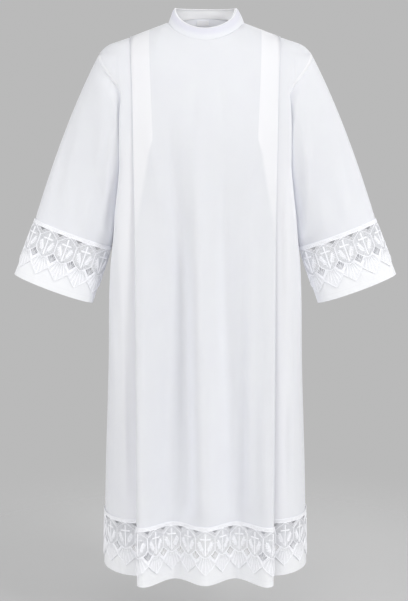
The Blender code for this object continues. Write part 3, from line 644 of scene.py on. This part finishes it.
# ---------------------------------------------------------------- neckband
# A doubled band stands round the neck. It is folded along its top edge, and its outer end
# laps over the inner one on the wearer's left.
BAND_TOP = dict(side=0.0770, front=0.069, back=0.058, side_z=0.038, front_z=-0.018, back_z=0.040,
                dip=1.1)
BAND = 0.0020
LAP_FIRST, LAP_LAST = math.radians(60), math.radians(450)
LAP_ROOM, LAP_LIFT, LAP_EASE = 0.0030, 0.0020, math.radians(75)
BAND_COLUMNS, BAND_ROWS = 150, 14

turn = np.linspace(LAP_FIRST, LAP_LAST, BAND_COLUMNS)
ease = np.clip((turn - LAP_LAST + math.radians(30) + LAP_EASE) / LAP_EASE, 0, 1)
ease = ease * ease * (3 - 2 * ease)
outward = np.stack((np.sin(turn), -np.cos(turn), 0 * turn), -1)
rows = []
for share in np.linspace(0, 1.03, BAND_ROWS):
    line = loop_points(BAND_TOP, turn) * (1 - share) + loop_points(NECKLINE, turn) * share
    hollow = 0.0006 * math.sin(math.pi * share) + 0.0006 * np.sin(3 * turn + 4 * share)
    hollow = hollow + 0.0004 * share ** 4 - 0.0028 * max(0, 1 - share / 0.22) ** 2
    line = line + outward * (LAP_ROOM * ease + hollow)[:, None]
    line[:, 2] += LAP_LIFT * ease * share + 0.0007 * np.sin(2 * turn + 1.0) * (1 - share)
    rows.append(line)
band_cloth = Finish("band_cloth", Roughness=0.80, Sheen_Weight=0.15, Specular_IOR_Level=0.25, Subsurface_Weight=0.4,
                    Subsurface_Radius=(0.9, 0.9, 1.0), Subsurface_Scale=0.008)
slub, soft, body = weave(band_cloth, 1400, 0.00012)
# Painted shade: the band's outside is painted darker than the rest of the cloth, as it tilts up into the light.
BAND_SHADED_WHITE = (0.745, 0.755, 0.810, 1.0)
plain = band_cloth.blend(soft * 0.4 + slub * 0.25, BAND_SHADED_WHITE, CLOTH_WHITE)
down = band_cloth.node("ShaderNodeUVMap", {"uv_map": "cloth"}, {})
down = band_cloth.node("ShaderNodeSeparateXYZ", {}, {0: down}, 1) * -1
# Painted shade: a lavender band just below the folded rim. The same colour also darkens the band's stitches.
BAND_STITCH_AND_PAINTED_SHADE = (0.675, 0.675, 0.775, 1.0)
painted_shade = band_cloth.step(down, 0.002, 0.006) * (1 - band_cloth.step(down, 0.014, 0.027))
# Painted highlight: the folded top edge is painted lighter.
rim = 1 - band_cloth.step(down, 0.0015, 0.0030)
plain = band_cloth.blend(painted_shade * 0.7, plain, BAND_STITCH_AND_PAINTED_SHADE)
along = band_cloth.node("ShaderNodeUVMap", {"uv_map": "cloth"}, {})
along = band_cloth.node("ShaderNodeSeparateXYZ", {}, {0: along}, 0)
seam = stitches(band_cloth, along, down - 0.0040) + stitches(band_cloth, along, down - 0.0350)
plain = band_cloth.blend(seam * 0.6, plain, BAND_STITCH_AND_PAINTED_SHADE)
band_cloth.feed("Base Color", band_cloth.blend(rim, plain, CLOTH_PAINTED_LIGHT))
band_cloth.feed("Roughness", 0.76 + slub * 0.12)
# Painted light: the band's inside, of the same cloth, is painted near white so that it looks lit inside the collar.
band_lining_painted_light = Finish("band_lining_painted_light", Roughness=0.82, Sheen_Weight=0.15, Specular_IOR_Level=0.25,
                     Subsurface_Weight=0.4, Subsurface_Radius=(0.9, 0.9, 1.0),
                     Subsurface_Scale=0.008)
slub, soft, body = weave(band_lining_painted_light, 1400, 0.00012)
band_lining_painted_light.feed("Base Color", band_lining_painted_light.blend(slub * 0.3, (0.975, 0.975, 1.0, 1.0), CLOTH_WHITE))
neckband = shell("neckband", np.stack(rows), BAND, band_cloth, rim=0.0009, lining=band_lining_painted_light)
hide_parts("collar")

# ---------------------------------------------------------------- hem and cuff bands
# Below the lace a band of the same cloth is turned up at the edge. The lace's fans lie on
# the band's upper part.
BAND_START = 0.088
BAND_LINES = 14
EDGE_STATIONS = 900
CUFF_STATIONS = 420


class Opening:
    """The cloth's form round the hem or a cuff, from the top of the lace to the edge."""

    def __init__(self, top, edge, closed):
        self.closed = closed
        if closed:
            top, edge = np.concatenate((top, top[:1])), np.concatenate((edge, edge[:1]))
        self.top, self.edge = top, edge
        step = np.linalg.norm(np.diff(top, axis=0), axis=-1)
        step = (step + np.linalg.norm(np.diff(edge, axis=0), axis=-1)) / 2
        self.reach = np.concatenate(((0.0,), np.cumsum(step)))
        self.length = self.reach[-1]
        along = np.gradient((top + edge) / 2, axis=0)
        if closed:
            along[0] = along[-1] = along[0] + along[-1]
        normal = np.cross(edge - top, along)
        self.normal = normal / np.linalg.norm(normal, axis=-1, keepdims=True)

    def place(self, along, down, lift):
        """Points at a distance along the opening, down from the lace's top, and off the cloth."""
        if self.closed:
            along = np.mod(along, self.length)
        top, edge, normal = (np.stack([np.interp(along, self.reach, line[:, axis])
                                       for axis in range(3)], -1)
                             for line in (self.top, self.edge, self.normal))
        share = np.asarray(down)[..., None] / BORDER
        return top + (edge - top) * share + normal * np.asarray(lift)[..., None]


def hem_line(table, waves, facing, reach, height):
    """A panel's line in plan at a height, seen from outside from left to right."""
    inside = NECK_COLUMNS + SEAM_COLUMNS + 2 * FOLD_COLUMNS + 2
    at = level(table, height)
    half = [np.stack([float(v[0]) for v in (x, facing * forward, at["side_x"] * 0 + height)])
            for x, forward, _ in (pleat_line(at, waves, j) for j in range(inside + 1))]
    last = half[-1][None]
    half += [side_points(table, facing, reach, last, j / SIDE_COLUMNS, np.array((height,)))[0]
             for j in range(1, SIDE_COLUMNS + 1)]
    half = np.array(half)
    line = np.concatenate((half[:0:-1] * (-1, 1, 1), half))
    line = line if facing < 0 else line[::-1]
    reach = np.concatenate(((0.0,), np.cumsum(np.linalg.norm(np.diff(line, axis=0), axis=-1))))
    return reach, line


def hem_opening(table, waves, facing, reach):
    """The hem of one panel as an opening with even stations."""
    (reach_top, top), (reach_edge, edge) = (hem_line(table, waves, facing, reach, z)
                                            for z in (HEM + BORDER, HEM))
    mean = (reach_top / reach_top[-1] + reach_edge / reach_edge[-1]) / 2
    share = np.linspace(0, 1, EDGE_STATIONS)
    top, edge = (np.stack([np.interp(share, mean, line[:, axis]) for axis in range(3)], -1)
                 for line in (top, edge))
    return Opening(top, edge, False)


hems = {"front": hem_opening(FRONT, FRONT_WAVES, -1, 0.0),
        "back": hem_opening(BACK, BACK_WAVES, 1, 0.0)}
cuffs = {}
for side, sign in (("left", 1), ("right", -1)):
    turn = 2 * math.pi * np.arange(CUFF_STATIONS) / CUFF_STATIONS
    top, edge = (cuff_ring(turn, down)[::-sign] * (sign, 1, 1) for down in (0.0, BORDER))
    cuffs[side] = Opening(top, edge, True)

hem_cloth = Finish("hem_cloth", Roughness=0.82, Sheen_Weight=0.15, Specular_IOR_Level=0.25,
                   Subsurface_Weight=0.4, Subsurface_Radius=(0.9, 0.9, 1.0),
                   Subsurface_Scale=0.008)
slub, soft, body = weave(hem_cloth, 1400, 0.00012)
plain = hem_cloth.blend(slub * 0.3, (0.895, 0.905, 0.940, 1.0), CLOTH_WHITE)
place = hem_cloth.node("ShaderNodeUVMap", {"uv_map": "cloth"}, {})
along = hem_cloth.node("ShaderNodeSeparateXYZ", {}, {0: place}, 0)
down = hem_cloth.node("ShaderNodeSeparateXYZ", {}, {0: place}, 1) * -1
seam = stitches(hem_cloth, along, down - 0.0500)
hem_cloth.feed("Base Color", hem_cloth.blend(seam * 0.6, plain, CLOTH_SHADE))
band_down = np.linspace(BAND_START, BORDER, BAND_LINES)
for name, opening in [("hem_band_" + side, hems[side]) for side in hems] + \
                     [("cuff_band_" + side, cuffs[side]) for side in cuffs]:
    stations = np.linspace(0, opening.length, 420, endpoint=not opening.closed)
    grid = opening.place(*np.meshgrid(stations, band_down), np.zeros((BAND_LINES, len(stations))))
    strip = shell(name + "_cloth", grid, CLOTH, hem_cloth, closed=opening.closed)
    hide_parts(name)

# ---------------------------------------------------------------- lace
# Corded lace goes round the hem and the cuffs. Under a beading with small holes stands a row
# of shields of fine net, each with a cross between two ears of wheat. Fans hang below them.
REPEAT = 0.0515
HALF = REPEAT / 2
LACE_LIFT = 0.0006
ARCH_TOP, ARCH_FOOT, ARCH_BEND = 0.0110, 0.0280, 0.06
SHIELD_SIDE, SHIELD_TIP, SHIELD_ROUND = 0.0615, 0.0800, 1.6
DIAMOND_SIDE, DIAMOND_FOOT, DIAMOND_HALF = 0.0745, 0.0885, 0.0120
FAN_PEAK, FAN_TIP = 0.101, 0.127


def arch(h):
    """Top of a shield, h being 0 in its middle and 1 where it meets the next."""
    rise = (np.sqrt(h * h + ARCH_BEND) - math.sqrt(ARCH_BEND))
    return ARCH_TOP + (ARCH_FOOT - ARCH_TOP) * rise / (math.sqrt(1 + ARCH_BEND) - math.sqrt(ARCH_BEND))


def shield_foot(h):
    return SHIELD_TIP - (SHIELD_TIP - SHIELD_SIDE) * h ** SHIELD_ROUND


def ground_foot(h):
    """Lower edge of the shields and of the diamond windows between them."""
    corner = 1 - DIAMOND_HALF / HALF
    slant = DIAMOND_SIDE + (DIAMOND_FOOT - DIAMOND_SIDE) * (h - corner) / (1 - corner)
    return np.where(h < corner, shield_foot(h), np.maximum(slant, shield_foot(h)))


def fan_edge(h):
    return FAN_TIP - (FAN_TIP - FAN_PEAK) * h


class Motif:
    """One repeat of raised lace work, as cords and ribbons on the flat."""

    def __init__(self):
        self.points = []
        self.faces = []
        self.count = 0

    def cord(self, path, width, height, low=0.0002):
        """A domed cord along a path of (along, down) points. width may vary along it."""
        path = np.asarray(path, float)
        n = len(path)
        width = np.broadcast_to(width, n) / 2
        run = np.gradient(path, axis=0)
        run /= np.maximum(np.linalg.norm(run, axis=-1, keepdims=True), 1e-9)
        across = np.stack((-run[:, 1], run[:, 0]), -1)
        dome = ((-1.0, 0.0), (-0.62, 0.80), (0.0, 1.0), (0.62, 0.80), (1.0, 0.0))
        tall = height * np.minimum(1, width / np.maximum(width.max(), 1e-9) * 1.2)
        lines = [np.concatenate((path + across * (width * a)[:, None],
                                 (low + tall * b)[:, None]), -1) for a, b in dome]
        ring = len(dome)
        self.points.append(np.stack(lines, 1).reshape(-1, 3))
        for k in range(n - 1):
            for m in range(ring):
                a, b = self.count + k * ring + m, self.count + k * ring + (m + 1) % ring
                self.faces.append((a, b, b + ring, a + ring))
        first = list(range(self.count, self.count + ring))
        self.faces.append(tuple(first[::-1]))
        self.faces.append(tuple(k + (n - 1) * ring for k in first))
        self.count += n * ring

    def mirrored(self, path, *sizes):
        """The same cord on both sides of the repeat's middle."""
        path = np.asarray(path, float)
        self.cord(path, *sizes)
        self.cord(path * (-1, 1) + (REPEAT, 0), *sizes)


def lace_motif():
    """Every cord of one repeat; along runs from 0 to REPEAT, and a shield stands at HALF."""
    motif = Motif()
    side = np.linspace(0, 1, 11)
    out = np.linspace(0, REPEAT, 9)
    for down, width in ((0.0009, 0.0019), (0.0093, 0.0019)):
        motif.cord(np.stack((out, 0 * out + down), -1), width, 0.0009)
    teeth = np.arange(17)
    motif.cord(np.stack((teeth * REPEAT / 16, 0.0050 + 0.0026 * (-1.0) ** teeth), -1),
               0.0020, 0.0008)
    motif.mirrored(np.stack((HALF + side * HALF, arch(side)), -1), 0.0021, 0.0013)
    motif.mirrored(np.stack((HALF + side * HALF, shield_foot(side)), -1), 0.0021, 0.0013)
    drop = np.linspace(ARCH_FOOT, SHIELD_SIDE, 6)
    for x in (0.0005, REPEAT - 0.0005):
        motif.cord(np.stack((0 * drop + x, drop), -1), 0.0014, 0.0012)
    # bars in the window beside each arch, and the lattice in each diamond
    for rise in (0.0042, 0.0084):
        first = np.interp(0.0095 + rise, arch(side), side)
        run = np.linspace(first, 1, 6)
        bar = np.stack((HALF + run * HALF, arch(run) - rise), -1)
        motif.mirrored(bar, 0.0016, 0.0007)
    corner = 1 - DIAMOND_HALF / HALF
    slant = np.linspace(corner, 1, 5)
    for drop, size in ((0.0, 0.0017), (0.0042, 0.0017), (0.0084, 0.0017)):
        start = corner - drop * 5.0 / 0.1
        run = np.linspace(max(start, 0.30), 1, 6)
        line = ground_foot(np.maximum(run, corner)) - np.maximum(0, corner - run) * 0.030
        motif.mirrored(np.stack((HALF + run * HALF, line + drop), -1), size, 0.0010)
    for share in (0.36, 0.70):
        a = np.array((HALF + (corner + (1 - corner) * (1 - share)) * HALF,
                      SHIELD_SIDE + (DIAMOND_SIDE - SHIELD_SIDE) * share))
        b = np.array((REPEAT, DIAMOND_FOOT - (DIAMOND_FOOT - DIAMOND_SIDE) * (1 - share)))
        motif.mirrored((a, (a + b) / 2, b), 0.0015, 0.0006)
    # rays of the fan under the shield, and the fan's corded edge
    rays = 11
    for k in range(rays):
        angle = math.radians(-62 + 124 * k / (rays - 1))
        h0 = 0.040 * math.tan(angle) / HALF * 0.42
        start = np.array((HALF + h0 * HALF, float(ground_foot(abs(h0))) + 0.0016))
        reach = np.linspace(0.0, 0.070, 141)
        line = start + reach[:, None] * (math.sin(angle) * 0.80, math.cos(angle))
        h = np.abs(line[:, 0] - HALF) / HALF
        inside = (line[:, 1] < fan_edge(h) - 0.0022) & (h < 1)
        last = line[np.argmin(inside) - 1] if not inside.all() else line[-1]
        if np.argmin(inside) < 8:
            continue
        path = start + (last - start) * np.linspace(0, 1, 5)[:, None]
        motif.cord(path, (0.0012, 0.0022, 0.0030, 0.0034, 0.0020), 0.0008)
    edge = np.linspace(1, 0, 7)
    half_edge = np.stack((HALF - edge * HALF, fan_edge(edge) - 0.0009), -1)
    motif.cord(np.concatenate((half_edge, (half_edge * (-1, 1) + (REPEAT, 0))[-2::-1])),
               0.0018, 0.0012)
    # a plain cross between two ears of wheat
    motif.cord(((HALF, 0.0165), (HALF, 0.0320), (HALF, 0.0520), (HALF, 0.0735)),
               (0.0048, 0.0032, 0.0032, 0.0048), 0.0015)
    motif.cord(((HALF - 0.0125, 0.0320), (HALF, 0.0320), (HALF + 0.0125, 0.0320)),
               (0.0044, 0.0029, 0.0044), 0.0014)
    rise = np.linspace(0, 1, 7)
    stem = np.stack((HALF + 0.0050 + 0.0095 * rise ** 1.4, 0.0700 - 0.0250 * rise), -1)
    motif.mirrored(stem, 0.0018, 0.0010)
    for k in range(5):
        foot = stem[2] + (stem[6] - stem[2]) * k / 4
        for lean in (-0.55, 0.95):
            angle = 0.38 + lean
            tip = foot + 0.0085 * np.array((math.sin(angle), -math.cos(angle)))
            grain = foot + (tip - foot) * np.linspace(0, 1, 5)[:, None]
            motif.mirrored(grain, (0.0004, 0.0025, 0.0030, 0.0020, 0.0004), 0.0012)
    motif.mirrored(stem[6] + np.linspace(0, 1, 5)[:, None] * (0.0030, -0.0085),
                   (0.0004, 0.0029, 0.0035, 0.0022, 0.0004), 0.0012)
    return np.concatenate(motif.points), motif.faces


def ground_grid():
    """The net of one repeat on the flat: beading, shields, then the ground of the fans."""
    h = np.abs(np.linspace(-1, 1, 25))
    tape = [0 * h + down for down in (0.0006, 0.0050, 0.0094)]
    along = np.linspace(0, REPEAT, 25)
    lines = [arch(h) + (np.minimum(shield_foot(h), SHIELD_TIP) - arch(h)) * share
             for share in np.linspace(0, 1, 9)]
    fan = [ground_foot(h) + (fan_edge(h) - ground_foot(h)) * share for share in np.linspace(0, 1, 7)]
    return [np.stack((np.broadcast_to(along, (len(zone), 25)), np.stack(zone)), -1)
            for zone in (tape, lines, fan)]


def lay(name, opening, repeats, points, faces, finish, uv=None):
    """Repeat flat work along an opening and lay it on the cloth's form."""
    scale = opening.length / (repeats * REPEAT)
    shift = np.arange(repeats)[:, None] * REPEAT
    along = (points[None, :, 0] + shift) * scale
    down = np.broadcast_to(points[None, :, 1], along.shape)
    lift = np.broadcast_to(points[None, :, 2], along.shape)
    if not opening.closed:
        along = np.clip(along, 0, opening.length)
    placed = opening.place(along, down, lift).reshape(-1, 3)
    corners = [tuple(c + k * len(points) for c in face) for k in range(repeats) for face in faces]
    mesh = bpy.data.meshes.new(name)
    mesh.from_pydata(placed.tolist(), [], corners)
    layer = mesh.uv_layers.new(name="cloth")
    index = np.zeros(len(mesh.loops), dtype=np.int64)
    mesh.loops.foreach_get("vertex_index", index)
    flat = np.stack((along.ravel(), -down.ravel()), -1)
    layer.data.foreach_set("uv", flat[index].ravel())
    mesh.materials.append(finish.material)
    piece = bpy.data.objects.new(name, mesh)
    bpy.context.scene.collection.objects.link(piece)
    mesh.shade_smooth()
    mesh.set_sharp_from_angle(angle=math.radians(70))
    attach(piece, "root")
    return piece


LACE_WHITE = (0.940, 0.945, 0.970, 1.0)
NET_SHADED_WHITE = (0.850, 0.860, 0.890, 1.0)
cord_thread = Finish("cord_thread", Roughness=0.70, Sheen_Weight=0.2, Specular_IOR_Level=0.3)
slub, soft, body = weave(cord_thread, 1800, 0.0002)
cord_thread.feed("Base Color", cord_thread.blend(slub * 0.3, LACE_WHITE, CLOTH_SHADE))
cord_thread.feed("Roughness", 0.64 + slub * 0.16)

# The net's meshes are a fine diagonal lattice of thread that one sees through.
NET_PITCH = 0.0017
net_thread = Finish("net_thread", Roughness=0.80, Sheen_Weight=0.2, Specular_IOR_Level=0.2)
place = net_thread.node("ShaderNodeUVMap", {"uv_map": "cloth"}, {})
across = net_thread.node("ShaderNodeSeparateXYZ", {}, {0: place}, 0)
down = net_thread.node("ShaderNodeSeparateXYZ", {}, {0: place}, 1)
rising = ((across + down) / NET_PITCH).math("PINGPONG", (across + down) / NET_PITCH, 1.0)
falling = ((across - down) / NET_PITCH).math("PINGPONG", (across - down) / NET_PITCH, 1.0)
hole = rising.math("MINIMUM", rising, falling)
depth = down * -1
# Painted shade: the net's thread is painted greyer in the shields, over the hollow inside, than in the beading and
# the fans, which lie over cloth. Its thread is also closer there.
close = 1 - net_thread.step(depth, 0.009, 0.011) + net_thread.step(depth, 0.080, 0.100)
low = 0.27 + close * 0.24
thread = 1 - net_thread.step(hole, low, low + 0.12)
net_thread.feed("Alpha", thread)
net_thread.feed("Base Color", net_thread.blend(close * 0.5, NET_SHADED_WHITE, LACE_WHITE))
bump = net_thread.node("ShaderNodeBump", {}, {"Strength": 0.6, "Distance": 0.0003, "Height": thread})
net_thread.feed("Normal", bump)

motif_points, motif_faces = lace_motif()
lace_base = CLOTH + LACE_LIFT
motif_points = motif_points + (0, 0, lace_base)
net_points, net_faces = [], []
first = 0
for zone in ground_grid():
    rows, count = zone.shape[:2]
    flat = zone.reshape(-1, 2)
    for lift in (lace_base + 0.0004, lace_base):
        net_points.append(np.concatenate((flat, np.full((len(flat), 1), lift)), -1))
    size = rows * count
    for i in range(rows - 1):
        for j in range(count - 1):
            quad = [first + i * count + j, first + (i + 1) * count + j,
                    first + (i + 1) * count + j + 1, first + i * count + j + 1]
            net_faces += [tuple(quad), tuple(v + size for v in quad[::-1])]
    border = [i * count for i in range(rows)]
    border += [(rows - 1) * count + j for j in range(1, count)]
    border += [i * count + count - 1 for i in range(rows - 2, -1, -1)]
    border += [j for j in range(count - 2, 0, -1)]
    for a, b in zip(border, border[1:] + border[:1]):
        net_faces.append((first + b, first + a, first + a + size, first + b + size))
    first += 2 * size
net_points = np.concatenate(net_points)

for name, opening, nodes in (
        ("hem_lace_front", hems["front"], ("hem_lace_front",)),
        ("hem_lace_back", hems["back"], ("hem_lace_back",)),
        ("cuff_lace_left", cuffs["left"], ("cuff_lace_left_front", "cuff_lace_left_back")),
        ("cuff_lace_right", cuffs["right"], ("cuff_lace_right_front", "cuff_lace_right_back"))):
    repeats = round(opening.length / REPEAT)
    if not opening.closed:
        repeats = 2 * round((hems["front"].length / REPEAT - 1) / 2) + 1
    net = lay(name + "_net", opening, repeats, net_points, net_faces, net_thread)
    cords = lay(name + "_cords", opening, repeats, motif_points, motif_faces, cord_thread)
    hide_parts(*nodes)
    print(name, repeats, len(net.data.polygons) * 2, len(cords.data.polygons) * 2)

# ---------------------------------------------------------------- label
# A small blank tag of woven tape is sewn inside the back of the neck.
LABEL_SIDES = np.linspace(-0.021, 0.009, 13)
LABEL_DROPS = np.linspace(0.0127, 0.0007, 8)
middle = back_grid.shape[1] // 2
back_middle = back_grid[:12, middle]
label_y = np.interp(-LABEL_DROPS, -back_middle[:, 2], back_middle[:, 1])
rows = []
for z, y in zip(LABEL_DROPS, label_y):
    bow = (LABEL_SIDES / NECKLINE["side"]) ** 2 * NECKLINE["back"] / 2
    rows.append(np.stack((LABEL_SIDES, y - bow - CLOTH - 0.0006, 0 * LABEL_SIDES + z), -1))
tag_tape = Finish("tag_tape", Roughness=0.55, Sheen_Weight=0.1, Specular_IOR_Level=0.4)
slub, soft, body = weave(tag_tape, 2200, 0.00008)
tag_tape.feed("Base Color", tag_tape.blend(slub * 0.5, (0.92, 0.92, 0.94, 1.0), (0.82, 0.82, 0.86, 1.0)))
tag = shell("neck_tag", np.stack(rows)[:, ::-1], 0.0007, tag_tape)
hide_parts("label")

# ---------------------------------------------------------------- light and floor
# Soft studio light, rather more from the right, in a plain grey room with a pale floor.
world = bpy.data.worlds.new("studio")
bpy.context.scene.world = world
world.use_nodes = True
world.node_tree.nodes["Background"].inputs["Color"].default_value = (0.49, 0.49, 0.49, 1.0)
world.node_tree.nodes["Background"].inputs["Strength"].default_value = 1.0

LAMP = ("name", "place", "target", "size", "watts")
for name, place, target, size, watts in (
        ("key", (4.2, -3.8, 1.4), (0.0, 0.0, -0.5), 2.0, 138),
        ("fill", (-1.5, -5.4, 0.3), (0.0, 0.0, -0.5), 2.6, 92),
        ("top", (0.0, -1.6, 1.7), (0.0, 0.0, -0.2), 1.6, 5),
        ("left", (-3.0, -1.7, 0.0), (0.0, 0.0, -0.6), 1.6, 29),
        ("right", (3.0, -0.9, 0.2), (0.0, 0.0, -0.6), 1.6, 14),
        ("rear", (0.9, 4.0, 1.2), (0.0, 0.0, -0.5), 2.4, 90)):
    data = bpy.data.lights.new(name, "AREA")
    data.shape, data.size, data.energy = "DISK", size, watts
    lamp = bpy.data.objects.new(name, data)
    lamp.location = place
    lamp.rotation_euler = (Vector(target) - Vector(place)).to_track_quat("-Z", "Y").to_euler()
    bpy.context.scene.collection.objects.link(lamp)

# The floor is a round of pale paper that fades out towards its rim.
FLOOR_Z, FLOOR_RADIUS, FLOOR_FADE = -1.60, 1.60, 0.50
turn = np.linspace(0, 2 * math.pi, 96, endpoint=False)
mesh = bpy.data.meshes.new("floor")
mesh.from_pydata([(FLOOR_RADIUS * math.sin(a), FLOOR_RADIUS * math.cos(a), FLOOR_Z) for a in turn],
                 [], [tuple(range(95, -1, -1))])
floor = bpy.data.objects.new("floor", mesh)
bpy.context.scene.collection.objects.link(floor)
paper = Finish("floor_paper", Roughness=0.9)
place = paper.node("ShaderNodeTexCoord", {}, {}, "Object")
grain = paper.node("ShaderNodeTexNoise", {}, {"Vector": place, "Scale": 300.0})
paper.feed("Base Color", paper.blend(grain, (0.50, 0.50, 0.50, 1.0), (0.53, 0.53, 0.53, 1.0)))
x = paper.node("ShaderNodeSeparateXYZ", {}, {0: place}, 0)
y = paper.node("ShaderNodeSeparateXYZ", {}, {0: place}, 1)
radius = (x * x + y * y) ** 0.5
paper.feed("Alpha", 1 - paper.step(radius, FLOOR_FADE, FLOOR_RADIUS))
mesh.materials.append(paper.material)
floor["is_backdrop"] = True

low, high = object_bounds()
